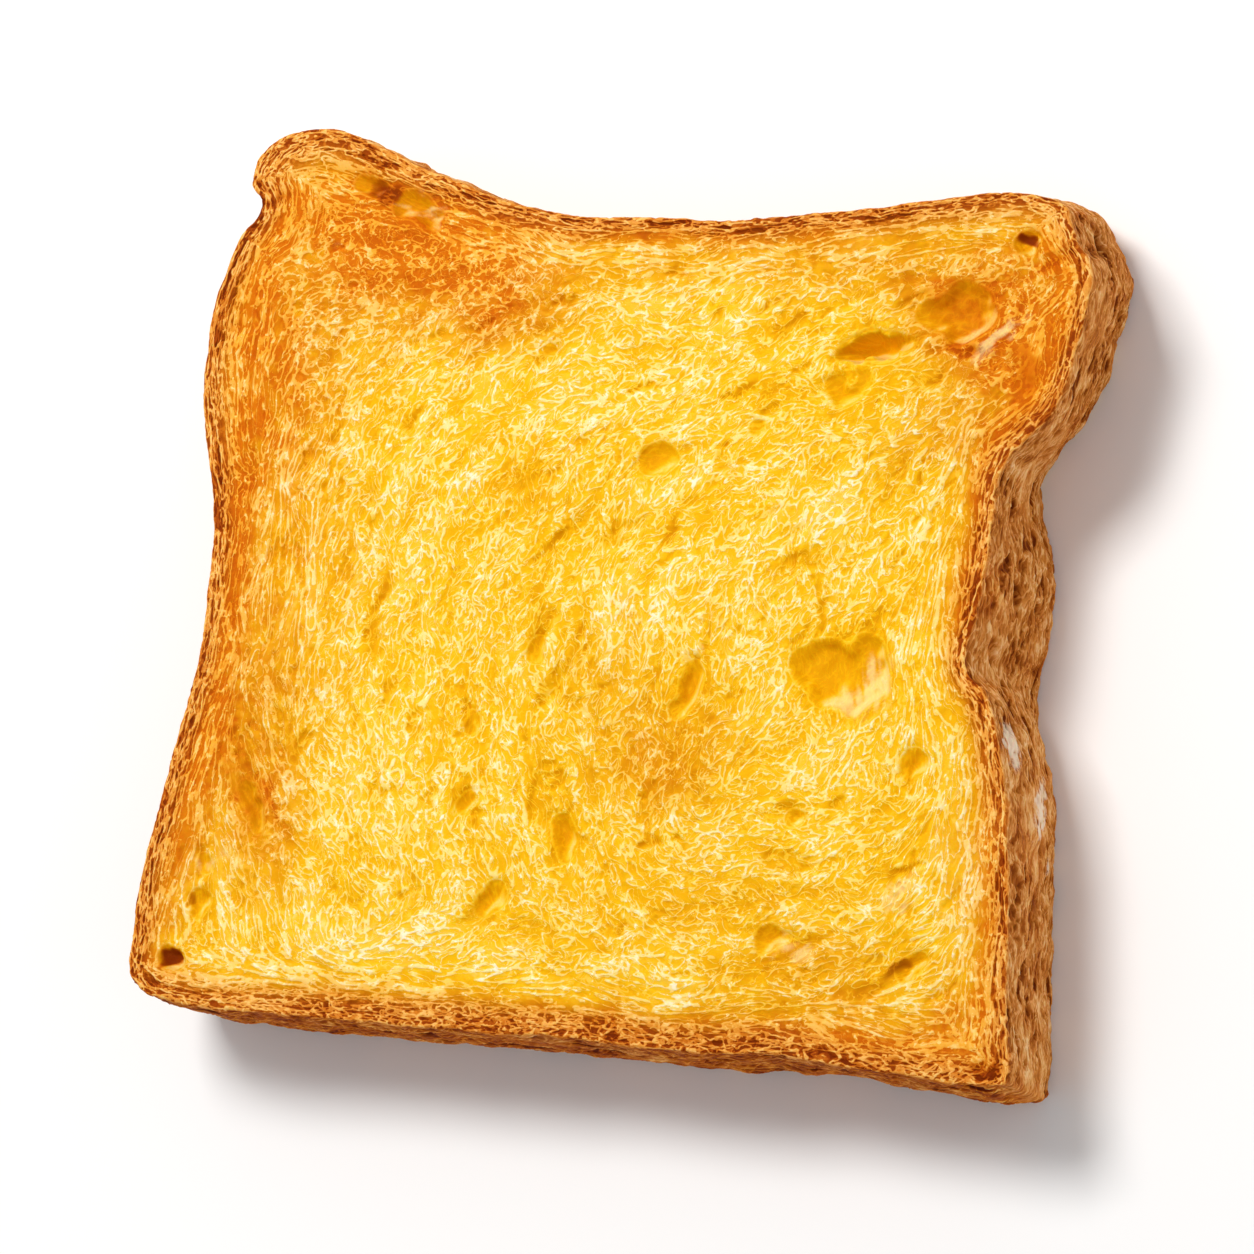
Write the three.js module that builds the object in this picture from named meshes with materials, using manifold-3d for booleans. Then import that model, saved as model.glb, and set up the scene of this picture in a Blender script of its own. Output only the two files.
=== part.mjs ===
// A toasted slice of a square sandwich loaf, lying on one cut face with the other cut face up.
// Millimetres. +Z is up, +Y points to the crown of the loaf and +X to the side with the sharp
// waist. The origin is in the middle of the slice's footprint, on the surface it lies on.
import * as THREE from 'three';
import { ParametricGeometry } from 'three/addons/geometries/ParametricGeometry.js';
import { mergeGeometries, mergeVertices } from 'three/addons/utils/BufferGeometryUtils.js';
import { ImprovedNoise } from 'three/addons/math/ImprovedNoise.js';
import Module from 'manifold-3d';

// Driving dimensions
const thickness = 24;        // between the two cut faces
const cutEdge = 0.9;         // radius of the crust's cut edges
const sideSwell = 0.8;       // how far the crust swells between the two cut faces
const wrinkleDepth = 0.5;    // wrinkles of the crust, to each side of its mean surface
const wrinkleWidth = 8;
const faceDip = 1;           // deepest hollow of the uneven upper face
const faceDipWidth = 22;
const faceDipSeed = 4.2;     // which part of the noise the hollows are taken from

// Mesh densities
const acrossCells = 44;      // cells of the upper face from side to side
const upCells = 40;          // cells of the upper face from foot to crown
const crustBands = 4;        // bands of the crust between its two rounded edges
const edgeBands = 2;         // bands of each rounded edge
const poreSides = 9;         // corners of a small pore's mouth
const hollowSides = 14;      // corners of a broad hollow's mouth
const poreRings = 5;
const weldDistance = 1e-4;   // corners closer than this are one corner

// The crust's landmarks, anticlockwise seen from above. Each has x and y on the upper face, and
// how far along x and y the same place on the lower face lies from there. A side starts at its
// first corner.
const foot = [
  [-62, -57.2, 0.9, 0.2],
  [-56.8, -59.2, 0.8, 0.2],
  [0, -59.2, 0, -0.3],
  [24, -59.1, -1, -0.3],
  [31, -58.5, -0.5, 0.2],
  [57, -59.7, -1.6, -0.5],
];
const waistSide = [
  [62.6, -59.2, -2.6, -0.2],
  [61.5, -54.5, -1.7, -1],
  [59.3, -34, -1.6, 1],
  [57, -20, -0.3, -1],
  [52.8, -10, 0, -0.2],
  [50.4, -8.6, 2, 2.2],
  [50.9, -1, 2.2, -1.6],
  [51.6, 7, 2.1, -0.5],
  [52.3, 17.4, -2.5, 3.4],
  [58.9, 26, -4.8, 1.4],
  [61.1, 36, -3.7, 0.6],
  [61, 45.3, -2, -0.4],
  [58.8, 47, -0.1, 2.4],
];
const crown = [
  [57, 51.8, -0.8, 2],
  [50, 53.2, 0, 4.2],
  [36, 51.4, 0.5, 3.9],
  [18, 49.4, 0, 1.9],
  [0, 48.7, 0, 1.2],
  [-14, 49.2, 1, 0.5],
  [-30, 53.4, 1, 0],
  [-45, 59, 1.5, -0.6],
  [-51.8, 60.2, 1.6, 0],
];
const curlSide = [
  [-58, 57.7, 1, 0.3],
  [-60.1, 52.8, 0.6, 0.7],
  [-57, 49.2, -1.6, 0],
  [-60.8, 44.6, -0.2, -0.5],
  [-63.4, 34, 0.8, -0.8],
  [-63.2, 22, 1.4, -0.5],
  [-58.8, 5, 0.7, -1],
  [-57.8, -12, -0.6, 1],
  [-60.9, -31, 0.1, 0],
  [-62.7, -50, 0.9, 0.8],
];
const sides = [foot, waistSide, crown, curlSide];
const landmarks = sides.flat();

// Pores of the upper face: [x, y, length, width, depth, direction in degrees from +X]
const upperPores = [
  [32.9, 32.9, 10.5, 4.6, 5.5, 30],
  [44.6, 37.6, 11, 6.5, 2.2, -15],
  [53, 47.4, 3.2, 2, 2.4, -15],
  [53.9, 30.2, 7.8, 2.8, 1.5, 97],
  [34.1, -9.7, 15.5, 11.5, 2.6, -13],
  [30.5, 27.6, 9.3, 3.2, 1.7, 24],
  [4.8, 16.9, 7.8, 3.2, 1.3, 28],
  [18.4, 22, 5.8, 2.6, 1.6, 25],
  [-12, 30.2, 3.8, 2.4, 1.9, 7],
  [13.2, -12, 6.6, 3, 1.9, 92],
  [-8.1, -8.1, 5.6, 2.4, 1.9, 83],
  [-6.5, -14.6, 4.8, 2.2, 1.7, 98],
  [-18, -20, 5.6, 2.3, 1.7, 113],
  [-15.9, -30.2, 6.1, 3, 2, 106],
  [-11.3, -43.8, 6.5, 3.6, 2.1, 26],
  [-1.6, -33.4, 5.6, 2.8, 1.8, 117],
  [29, -28, 4.3, 2.8, 2.1, 4],
  [31.6, -39, 4, 2.3, 1.9, 12],
  [29.3, -44.4, 6.1, 3, 1.8, 10],
  [46.9, -46.2, 6.4, 2.4, 2.6, 33],
  [52, -49.9, 4, 2.2, 1.8, 56],
  [45.5, -21.7, 5.8, 1.9, 1.8, 84],
  [-56.2, -54, 3.5, 2.8, 3.2, 5],
  [-53, -46.6, 4.6, 2.3, 2.1, 107],
  [-53.4, -39.7, 5, 2.1, 1.7, 108],
  [-46.8, -33.5, 11.3, 2.5, 2, 113],
  [-42, 51.6, 6, 2.6, 2.1, 7],
  [-34.2, 49, 7.1, 3.2, 1.4, -12],
];

// Pores of the lower face lie on a spiral around its middle, and none is in the middle itself
const lowerPoreCount = 12;
const lowerPoreReach = 50;   // from the middle to the last of them
const lowerPoreTurn = 137.5; // degrees from one to the next
const lowerPoreLengths = [4, 5, 6, 7];
const lowerPoreWidths = [2.4, 2.9, 3.4];
const lowerPoreDepth = 1.8;

// The mouth of a pore: one wider than this is a broad hollow, one less steep than this is the tip
// of a larger egg, and the egg is lifted by at most this share of its own height
const hollowWidth = 6;
const eggSteepness = 2.2;
const eggLift = 0.7;

// Splits in the crust of the waist side: [x, y, z, length, width, depth, slope in degrees]
const crustSplits = [
  [58.8, 50, 13.5, 5, 3.4, 2, -40],
  [59.6, 36, 9, 9, 1.8, 1.4, 20],
  [53.6, 6.8, 17.5, 4, 2, 1.7, -35],
  [54.4, 2.2, 6.3, 6, 2, 1.8, 45],
  [53.6, 3.4, 13.6, 6, 1.4, 1.3, 30],
  [52.9, -5, 16.6, 6, 2.2, 2, 40],
  [54, -2, 9, 6, 1.4, 1.4, -30],
  [56.3, -15, 15.8, 5, 1.5, 1.3, -8],
  [59.8, -27, 10, 8, 1.3, 1.1, 5],
  [61.2, -46, 14, 7, 1.3, 1.1, -8],
];

// Where the crust is torn off the cut edge, above the notch in the waist side
const tear = [51.6, -4.4, 23.2, 9.5, 4.4, 1.3, 4];

const { clamp, degToRad, lerp } = THREE.MathUtils;
const noise = new ImprovedNoise();

// A closed curve through the landmarks: share 0 is the upper face and share 1 the lower
function loopAt(share) {
  const points = landmarks.map(
    ([x, y, leanX, leanY]) => new THREE.Vector3(x + share * leanX, y + share * leanY, 0),
  );
  return new THREE.CatmullRomCurve3(points, true, 'centripetal');
}
const upperLoop = loopAt(0);
const middleLoop = loopAt(0.5);
const lowerLoop = loopAt(1);

// Where each side starts, as a share of the way round the middle curve
const stepsPerLandmark = 16;
middleLoop.arcLengthDivisions = landmarks.length * stepsPerLandmark;
const lengths = middleLoop.getLengths();
const sideStarts = [];
let firstLandmark = 0;
for (const side of sides) {
  sideStarts.push(lengths[firstLandmark * stepsPerLandmark] / lengths.at(-1));
  firstLandmark += side.length;
}
sideStarts.push(1);

// The crust from the lower face up, as heights and how far in its rounded edges are drawn
const bands = [];
for (let i = 0; i < edgeBands; i += 1) {
  const turn = (i / edgeBands) * (Math.PI / 2);
  bands.push({ height: cutEdge * (1 - Math.cos(turn)), inset: cutEdge * (1 - Math.sin(turn)) });
}
for (let i = 0; i <= crustBands; i += 1) {
  bands.push({ height: lerp(cutEdge, thickness - cutEdge, i / crustBands), inset: 0 });
}
for (let i = edgeBands - 1; i >= 0; i -= 1) {
  bands.push({ height: thickness - bands[i].height, inset: bands[i].inset });
}
const topBand = bands.length - 1;

// How far the uneven upper face lies below the full thickness
function dipAt(x, y) {
  const wave = noise.noise(x / faceDipWidth, y / faceDipWidth, faceDipSeed);
  return faceDip * clamp(0.5 + wave, 0, 1);
}

// A point of the crust, a share of the way along a side and in one of the bands
function crustPoint(side, along, band) {
  const { height, inset } = bands[band];
  const level = height / thickness;
  const around = lerp(sideStarts[side], sideStarts[side + 1], along);
  const t = middleLoop.getUtoTmapping(around % 1);
  const place = lowerLoop.getPoint(t).lerp(upperLoop.getPoint(t), level);
  const tangent = middleLoop.getTangent(t);
  const outward = new THREE.Vector3(tangent.y, -tangent.x, 0);
  const { x, y } = place;
  const wrinkle = noise.noise(x / wrinkleWidth, y / wrinkleWidth, height / wrinkleWidth);
  const swell = sideSwell * Math.sin(Math.PI * level) + wrinkleDepth * wrinkle;
  place.addScaledVector(outward, swell - inset);
  place.z = height - level * dipAt(place.x, place.y);
  return place;
}

// The crust, one panel to a side
function crustPanel(side) {
  const cells = side % 2 === 0 ? acrossCells : upCells;
  const wall = (along, up, target) => {
    target.copy(crustPoint(side, along, Math.round(up * topBand)));
  };
  return new ParametricGeometry(wall, cells, topBand);
}

// The upper cut face is stretched between the four upper edges of the crust
function upperFace() {
  const corner = [0, 1, 2, 3].map((side) => crustPoint(side, 0, topBand));
  const face = (across, up, target) => {
    const low = crustPoint(0, across, topBand);
    const right = crustPoint(1, up, topBand);
    const high = crustPoint(2, 1 - across, topBand);
    const left = crustPoint(3, 1 - up, topBand);
    const blend = (from, to, share) => from.clone().lerp(to, share);
    const ends = blend(blend(corner[0], corner[1], across), blend(corner[3], corner[2], across), up);
    target.copy(blend(low, high, up)).add(blend(left, right, across)).sub(ends);
    const onRim = across === 0 || across === 1 || up === 0 || up === 1;
    if (!onRim) target.z = thickness - dipAt(target.x, target.y);
  };
  return new ParametricGeometry(face, acrossCells, upCells);
}

// The lower cut face is flat, and faces down
function lowerFace() {
  const outline = [];
  for (const side of [0, 1, 2, 3]) {
    const cells = side % 2 === 0 ? acrossCells : upCells;
    for (let i = 0; i < cells; i += 1) outline.push(crustPoint(side, i / cells, 0));
  }
  const face = new THREE.ShapeGeometry(new THREE.Shape(outline));
  const index = face.getIndex();
  for (let i = 0; i < index.count; i += 3) {
    const second = index.getX(i + 1);
    index.setX(i + 1, index.getX(i + 2));
    index.setX(i + 2, second);
  }
  return face;
}

// An egg-shaped cutter that opens a mouth of this length and width, this deep. A shallow one is
// the tip of a larger egg, so that its rim slopes.
function poreCutter(length, width, depth) {
  const lift = clamp(1 - (eggSteepness * depth) / width, 0, eggLift);
  const mouth = Math.sqrt(1 - lift * lift);
  const reach = depth / (1 - lift);
  const around = width > hollowWidth ? hollowSides : poreSides;
  const cutter = new THREE.SphereGeometry(0.5, around, poreRings);
  cutter.rotateX(Math.PI / 2);
  cutter.scale(length / mouth, width / mouth, reach * 2);
  return cutter.translate(0, 0, lift * reach);
}

function poreCutters() {
  const cutters = [];
  for (const [x, y, length, width, depth, direction] of upperPores) {
    const cutter = poreCutter(length, width, depth).rotateZ(degToRad(direction));
    cutters.push(cutter.translate(x, y, thickness - dipAt(x, y)));
  }
  for (let i = 1; i <= lowerPoreCount; i += 1) {
    const reach = lowerPoreReach * Math.sqrt(i / lowerPoreCount);
    const length = lowerPoreLengths[i % lowerPoreLengths.length];
    const width = lowerPoreWidths[i % lowerPoreWidths.length];
    const cutter = poreCutter(length, width, lowerPoreDepth).rotateX(Math.PI);
    cutters.push(cutter.translate(reach, 0, 0).rotateZ(degToRad(i * lowerPoreTurn)));
  }
  for (const [x, y, z, length, width, depth, slope] of [...crustSplits, tear]) {
    const cutter = poreCutter(length, width, depth).rotateZ(degToRad(slope));
    cutter.rotateX(Math.PI / 2).rotateZ(Math.PI / 2);
    cutters.push(cutter.translate(x, y, z));
  }
  return cutters;
}

// A closed surface with shared corners, as a solid that can be cut
function solidOf(wasm, geometry) {
  const bare = geometry.clone();
  bare.deleteAttribute('normal');
  bare.deleteAttribute('uv');
  const merged = mergeVertices(bare, weldDistance);
  return new wasm.Manifold(new wasm.Mesh({
    numProp: 3,
    vertProperties: new Float32Array(merged.attributes.position.array),
    triVerts: new Uint32Array(merged.index.array),
  }));
}

// The solid's surface, moved sideways so that the middle of its footprint is the origin
function geometryOf(solid) {
  const { vertProperties, triVerts } = solid.getMesh();
  const geometry = new THREE.BufferGeometry();
  geometry.setAttribute('position', new THREE.BufferAttribute(vertProperties, 3));
  geometry.setIndex(new THREE.BufferAttribute(triVerts, 1));
  geometry.computeVertexNormals();
  geometry.computeBoundingBox();
  const { min, max } = geometry.boundingBox;
  return geometry.translate(-(min.x + max.x) / 2, -(min.y + max.y) / 2, 0);
}

const wasm = await Module();
wasm.setup();

const crustPanels = [0, 1, 2, 3].map(crustPanel);
let slice = solidOf(wasm, mergeGeometries([...crustPanels, upperFace(), lowerFace()]));
for (const cutter of poreCutters()) {
  slice = slice.subtract(solidOf(wasm, cutter));
}

const toast = new THREE.MeshStandardMaterial({ color: 0xf0b834, roughness: 0.75, metalness: 0 });
const breadSlice = new THREE.Mesh(geometryOf(slice), toast);
breadSlice.name = 'bread_slice';

const group = new THREE.Group();
group.add(breadSlice);
export default group;
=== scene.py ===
"""A toasted slice of sandwich loaf: crumb, crust and toasting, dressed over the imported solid."""

from math import atan2, cos, pi, radians, sin

import bpy
import numpy as np
from mathutils import Matrix, Vector
from mathutils.bvhtree import BVHTree
from mathutils.kdtree import KDTree


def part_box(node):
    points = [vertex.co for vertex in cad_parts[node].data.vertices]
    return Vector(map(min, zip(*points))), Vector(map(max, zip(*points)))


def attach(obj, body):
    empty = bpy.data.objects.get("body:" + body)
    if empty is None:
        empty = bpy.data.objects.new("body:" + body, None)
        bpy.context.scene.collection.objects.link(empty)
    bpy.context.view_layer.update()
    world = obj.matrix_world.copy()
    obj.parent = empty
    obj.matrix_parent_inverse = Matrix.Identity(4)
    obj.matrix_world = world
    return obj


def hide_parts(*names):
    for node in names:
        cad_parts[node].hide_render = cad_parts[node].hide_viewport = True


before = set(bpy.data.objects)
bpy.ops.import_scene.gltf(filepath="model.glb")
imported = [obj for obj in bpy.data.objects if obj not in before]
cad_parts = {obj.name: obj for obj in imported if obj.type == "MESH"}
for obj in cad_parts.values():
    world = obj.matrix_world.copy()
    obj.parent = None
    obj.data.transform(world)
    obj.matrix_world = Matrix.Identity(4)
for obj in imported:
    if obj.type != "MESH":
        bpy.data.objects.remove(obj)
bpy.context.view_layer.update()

SLICE = "bread_slice"

# ---- sizes, in millimetres
MM = 0.001
low = np.array(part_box(SLICE)[0]) / MM
high = np.array(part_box(SLICE)[1]) / MM
thickness = high[2] - low[2]

across_cells = 560     # of the upper face, from side to side: a multiple of 4, as up_cells is
up_cells = 540
wall_bands = 80        # of the crust, between its two rounded edges
edge_bands = 3
upper_edge = 0.5       # radii of the rounded edges
lower_edge = 0.9
chart_step = 0.1       # of the charts that the relief is drawn on
margin = 3.0           # of the charts around the slice


# ---- charts
class Chart:
    """A grid over a rectangle, closed from left to right if it is a loop."""

    def __init__(self, corner, opposite, step, loop=False):
        self.corner = np.array(corner, float)
        self.loop = loop
        spans = np.array(opposite, float) - self.corner
        self.cols = int(round(spans[0] / step)) + (0 if loop else 1)
        self.rows = int(np.ceil(spans[1] / step)) + 1
        self.step = spans[0] / self.cols if loop else step
        self.x = self.corner[0] + self.step * np.arange(self.cols)
        self.y = self.corner[1] + self.step * np.arange(self.rows)

    def cloud(self, seed, size):
        """Smooth noise with bumps about this wide, a mean of 0 and a spread of 1."""
        white = np.random.default_rng(seed).standard_normal((self.rows, self.cols))
        return level(softened(self, white, size))

    def look(self, values, x, y):
        """Values between the grid's places."""
        col = (x - self.corner[0]) / self.step
        row = np.clip((y - self.corner[1]) / self.step, 0, self.rows - 1.001)
        if not self.loop:
            col = np.clip(col, 0, self.cols - 1.001)
        c, r = np.floor(col).astype(int), row.astype(int)
        u, v = col - c, row - r
        left, right = c % self.cols, (c + 1) % self.cols
        lower = values[r, left] * (1 - u) + values[r, right] * u
        upper = values[r + 1, left] * (1 - u) + values[r + 1, right] * u
        return lower * (1 - v) + upper * v

    def combed(self, values, direction, reach, steps=9):
        """Values averaged along a field of directions, this far to each side."""
        x, y = np.meshgrid(self.x, self.y)
        along, up = np.cos(direction), np.sin(direction)
        total = np.zeros_like(values)
        for t in np.linspace(-reach, reach, steps):
            total += self.look(values, x + t * along, y + t * up)
        return total / steps


def smooth(value, start, end):
    t = np.clip((value - start) / (end - start), 0, 1)
    return t * t * (3 - 2 * t)


def mix(a, b, share):
    return a + (b - a) * share


def level(values):
    """Values with a mean of 0 and a spread of 1."""
    return (values - values.mean()) / values.std()


def softened(chart, values, size):
    """Values blurred over about this width."""
    up = np.fft.fftfreq(chart.rows, chart.step)[:, None]
    along = np.fft.rfftfreq(chart.cols, chart.step)[None, :]
    blur = np.exp(-2 * (pi * size / 3.3) ** 2 * (up ** 2 + along ** 2))
    return np.fft.irfft2(np.fft.rfft2(values) * blur, s=values.shape)


def foam(chart, seed, size, stretch, direction, spread, jog):
    """Foam cells over a chart, looked up a little to the side. Returns how much farther each
    place is from the next cell's middle than from its own, in cell radii, and its cell's own
    random share."""
    rng = np.random.default_rng(seed)
    finest = size.min()
    cols = int(chart.step * chart.cols / finest)
    rows = int(chart.step * chart.rows / finest)
    col, row = np.meshgrid(np.arange(cols), np.arange(rows))
    x = chart.corner[0] + (col + rng.random(col.shape)) * finest
    y = chart.corner[1] + (row + rng.random(col.shape)) * finest
    here = chart.look(size, x, y)
    kept = rng.random(col.shape) < (finest / here) ** 2
    x, y, here = x[kept], y[kept], here[kept]
    radius = 0.55 * here * np.exp(spread * rng.standard_normal(len(x)))
    longer = np.sqrt(chart.look(stretch, x, y))
    turn = [chart.look(wave(2 * direction), x, y) for wave in (np.sin, np.cos)]
    turn = 0.5 * np.arctan2(*turn)
    share = rng.random(len(x))
    nearest = np.full((chart.rows, chart.cols), 3.0)
    second = nearest.copy()
    own = np.zeros_like(nearest)
    reach = 2.3 * radius * longer
    first_col = np.floor((x - reach - chart.corner[0]) / chart.step).astype(int)
    last_col = np.ceil((x + reach - chart.corner[0]) / chart.step).astype(int)
    first_row = np.floor((y - reach - chart.corner[1]) / chart.step).astype(int).clip(0)
    last_row = np.ceil((y + reach - chart.corner[1]) / chart.step).astype(int).clip(0, chart.rows)
    for k in range(len(x)):
        c = np.arange(first_col[k], last_col[k])
        if not chart.loop:
            c = c[(c >= 0) & (c < chart.cols)]
        away = chart.corner[0] + c * chart.step - x[k]
        rise = (chart.y[first_row[k]:last_row[k]] - y[k])[:, None]
        patch = np.ix_(np.arange(first_row[k], last_row[k]), c % chart.cols)
        c_turn, s_turn = cos(turn[k]), sin(turn[k])
        u = (away * c_turn + rise * s_turn) / (radius[k] * longer[k])
        v = (rise * c_turn - away * s_turn) * (longer[k] / radius[k])
        d = np.sqrt(u * u + v * v)
        before = nearest[patch]
        closer = d < before
        second[patch] = np.where(closer, before, np.minimum(second[patch], d))
        own[patch] = np.where(closer, share[k], own[patch])
        nearest[patch] = np.where(closer, d, before)
    x, y = np.meshgrid(chart.x, chart.y)
    return [chart.look(f, x + jog[0], y + jog[1]) for f in (second - nearest, own)]


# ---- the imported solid
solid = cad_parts[SLICE].data
solid_corners = np.array([v.co for v in solid.vertices]) / MM
solid_faces = [tuple(p.vertices) for p in solid.polygons]
tree = BVHTree.FromPolygons([tuple(c) for c in solid_corners], solid_faces)


def outline_at(height):
    """The solid's outline at a height, anticlockwise, from its lower left corner."""
    places, names = np.unique(solid_corners.round(4), axis=0, return_inverse=True)
    names = names.ravel()
    above = places[:, 2] > height
    links, cuts = {}, {}
    for face in solid_faces:
        ends = []
        for a, b in ((0, 1), (1, 2), (2, 0)):
            a, b = sorted((names[face[a]], names[face[b]]))
            if above[a] != above[b]:
                share = (height - places[a][2]) / (places[b][2] - places[a][2])
                cuts[a, b] = mix(places[a], places[b], share)[:2]
                ends.append((a, b))
        if len(ends) == 2:
            links.setdefault(ends[0], []).append(ends[1])
            links.setdefault(ends[1], []).append(ends[0])
    longest, seen = [], set()
    for start in links:
        if start in seen:
            continue
        loop, here = [], start
        while here is not None:
            seen.add(here)
            loop.append(cuts[here])
            here = next((n for n in links[here] if n not in seen), None)
        if len(loop) > len(longest):
            longest = loop
    loop = np.array(longest)
    x, y = loop.T
    if np.sum(x * np.roll(y, -1) - y * np.roll(x, -1)) < 0:
        loop = loop[::-1]
    return np.roll(loop, -np.argmin(loop.sum(1)), axis=0)


def blurred(ring, count):
    """Values round a closed ring, averaged over about this many neighbours to each side."""
    reach = np.arange(-3 * count, 3 * count + 1)
    weights = np.exp(-0.5 * (reach / count) ** 2)
    weights /= weights.sum()
    return sum(w * np.roll(ring, -k, axis=0) for k, w in zip(reach, weights))


def normals_of(ring, count):
    """Outward normals of a closed anticlockwise ring."""
    ahead = blurred(np.roll(ring, -1, axis=0) - np.roll(ring, 1, axis=0), count)
    ahead /= np.linalg.norm(ahead, axis=1)[:, None]
    return np.stack([ahead[:, 1], -ahead[:, 0]], 1)


def stations():
    """Places round the crust at half height, evenly spread along each of the four sides."""
    loop = outline_at(thickness / 2 + 0.013)
    diagonals = np.array([[-1, -1], [1, -1], [1, 1], [-1, 1]])
    corners = [int(np.argmax(loop @ d)) for d in diagonals]
    closed = np.vstack([loop, loop[:1]])
    length = np.append(0, np.cumsum(np.linalg.norm(np.diff(closed, axis=0), axis=1)))
    starts = [length[c] for c in corners] + [length[-1]]
    cells = [across_cells, up_cells, across_cells, up_cells]
    spans = zip(starts, starts[1:], cells)
    walk = np.concatenate([np.linspace(a, b, n, endpoint=False) for a, b, n in spans])
    return np.stack([np.interp(walk, length, closed[:, k]) for k in (0, 1)], 1)


probe_start = 5.0      # how far outside the crust a probe starts
probe_step = 0.6       # between the heights of the probes
probe_drop = 1.9       # the highest probes lie this far under the slice's top
rim_drop = 2.6         # the rim follows the crust as it is this far under the top


def probe_crust():
    """How far out of the middle outline the crust lies, by height and station."""
    heights = np.arange(lower_edge, thickness - probe_drop, probe_step)
    reach = np.zeros((len(heights), len(ring)))
    for j, (place, out) in enumerate(zip(ring, outward)):
        start = place + probe_start * out
        inward = Vector((-out[0], -out[1], 0))
        for i, height in enumerate(heights):
            hit = tree.ray_cast(Vector((start[0], start[1], height)), inward)
            reach[i, j] = probe_start - hit[3] if hit[3] is not None else 0
    reach = blurred(reach.T, 2).T
    for _ in range(2):
        reach[1:-1] = (reach[:-2] + 2 * reach[1:-1] + reach[2:]) / 4
    return heights, reach


def probe_face(chart, start, direction):
    """How far from a start height a cut face lies, over a chart."""
    depth = np.full((chart.rows, chart.cols), np.nan)
    for i, y in enumerate(chart.y):
        for j, x in enumerate(chart.x):
            hit = tree.ray_cast(Vector((x, y, start)), Vector((0, 0, direction)))
            if hit[3] is not None:
                depth[i, j] = hit[3]
    return depth


def filled(values, rounds):
    """Values with their gaps grown over from the places beside them."""
    values = values.copy()
    for _ in range(rounds):
        padded = np.pad(values, 1, constant_values=np.nan)
        beside = [padded[1:-1, :-2], padded[1:-1, 2:], padded[:-2, 1:-1], padded[2:, 1:-1]]
        known = sum(np.isfinite(b).astype(float) for b in beside)
        total = sum(np.nan_to_num(b) for b in beside)
        gap = np.isnan(values) & (known > 0)
        values[gap] = total[gap] / known[gap]
    return np.nan_to_num(values, nan=np.nanmean(values))


ring = blurred(stations(), 3)
outward = normals_of(ring, 5)
count = len(ring)
crust_heights, crust_reach = probe_crust()
pitch = np.linalg.norm(np.roll(ring, -1, axis=0) - ring, axis=1)
walked = np.append(0, np.cumsum(pitch))
perimeter = walked[-1]


def crust_at(height, station=slice(None)):
    """The crust's places at one height for each station."""
    row = np.clip((height - crust_heights[0]) / probe_step, 0, len(crust_heights) - 1.001)
    r = row.astype(int)
    names = np.arange(count)[station]
    out = mix(crust_reach[r, names], crust_reach[r + 1, names], row - r)
    return ring[station] + out[:, None] * outward[station]


under_edge = crust_at(np.full(count, thickness - rim_drop))
rim = blurred(under_edge - upper_edge * outward, 2)
rim_outward = normals_of(rim, 5)


def edge_fields(chart, places, normals):
    """How far in from the rim each place is, and the rim's direction and way round beside it."""
    coarse = Chart(chart.corner, (chart.x[-1] + 1, chart.y[-1] + 1), 0.8)
    kd = KDTree(len(places))
    for k, place in enumerate(places):
        kd.insert(Vector((place[0], place[1], 0)), k)
    kd.balance()
    inset = np.zeros((coarse.rows, coarse.cols))
    station = np.zeros((coarse.rows, coarse.cols), int)
    for i, y in enumerate(coarse.y):
        for j, x in enumerate(coarse.x):
            _, k, away = kd.find(Vector((x, y, 0)))
            outside = (np.array([x, y]) - places[k]) @ normals[k] > 0
            inset[i, j] = -away if outside else away
            station[i, j] = k
    x, y = np.meshgrid(chart.x, chart.y)
    along = np.arctan2(normals[station][..., 0], -normals[station][..., 1])
    c = coarse.look(np.cos(2 * along), x, y)
    s = coarse.look(np.sin(2 * along), x, y)
    turns = 2 * pi * walked[station] / perimeter
    way_round = [coarse.look(np.cos(turns), x, y), coarse.look(np.sin(turns), x, y)]
    return coarse.look(inset, x, y), 0.5 * np.arctan2(s, c), way_round


# The two cut faces, as high as they are inside the rim, and grown over beyond it
probe_chart = Chart(low[:2] - margin, high[:2] + margin, 0.3)
probe_inset = edge_fields(probe_chart, rim, rim_outward)[0]
beyond = probe_inset < 0.4
grown_over = 16        # rounds of one chart step each
above = thickness + probe_start
face_height = above - probe_face(probe_chart, above, -1)
face_height[beyond] = np.nan
face_height = filled(face_height, grown_over)
foot_height = probe_face(probe_chart, -probe_start, 1) - probe_start
foot_height[beyond] = np.nan
foot_height = filled(foot_height, grown_over)
level_inset = 1.4      # the rounded edge is as high as the face is this far in from it
inner = rim - level_inset * rim_outward
edge_height = blurred(probe_chart.look(face_height, inner[:, 0], inner[:, 1]), 10)

# ---- the upper face's chart
face = Chart(low[:2] - margin, high[:2] + margin, chart_step)
X, Y = np.meshgrid(face.x, face.y)
inset, rim_way, way_round = edge_fields(face, rim, rim_outward)


def blobs(patches, wander=0.0, seed=1, size=6.0, power=2):
    """A field of soft ovals: [x, y, length, width, direction in degrees, strength]. A higher
    power makes them squarer, with harder edges."""
    x = X + wander * face.cloud(seed, size)
    y = Y + wander * face.cloud(seed + 1, size)
    total = np.zeros_like(X)
    for px, py, length, width, direction, strength in patches:
        a = radians(direction)
        u = ((x - px) * cos(a) + (y - py) * sin(a)) / (length / 2)
        v = ((y - py) * cos(a) - (x - px) * sin(a)) / (width / 2)
        total += strength * np.exp(-1.2 * (np.abs(u) ** power + np.abs(v) ** power))
    return total


def zone(patches, start=0.2, end=0.7):
    """1 inside soft ovals and 0 outside them."""
    return smooth(blobs(patches), start, end)


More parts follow.
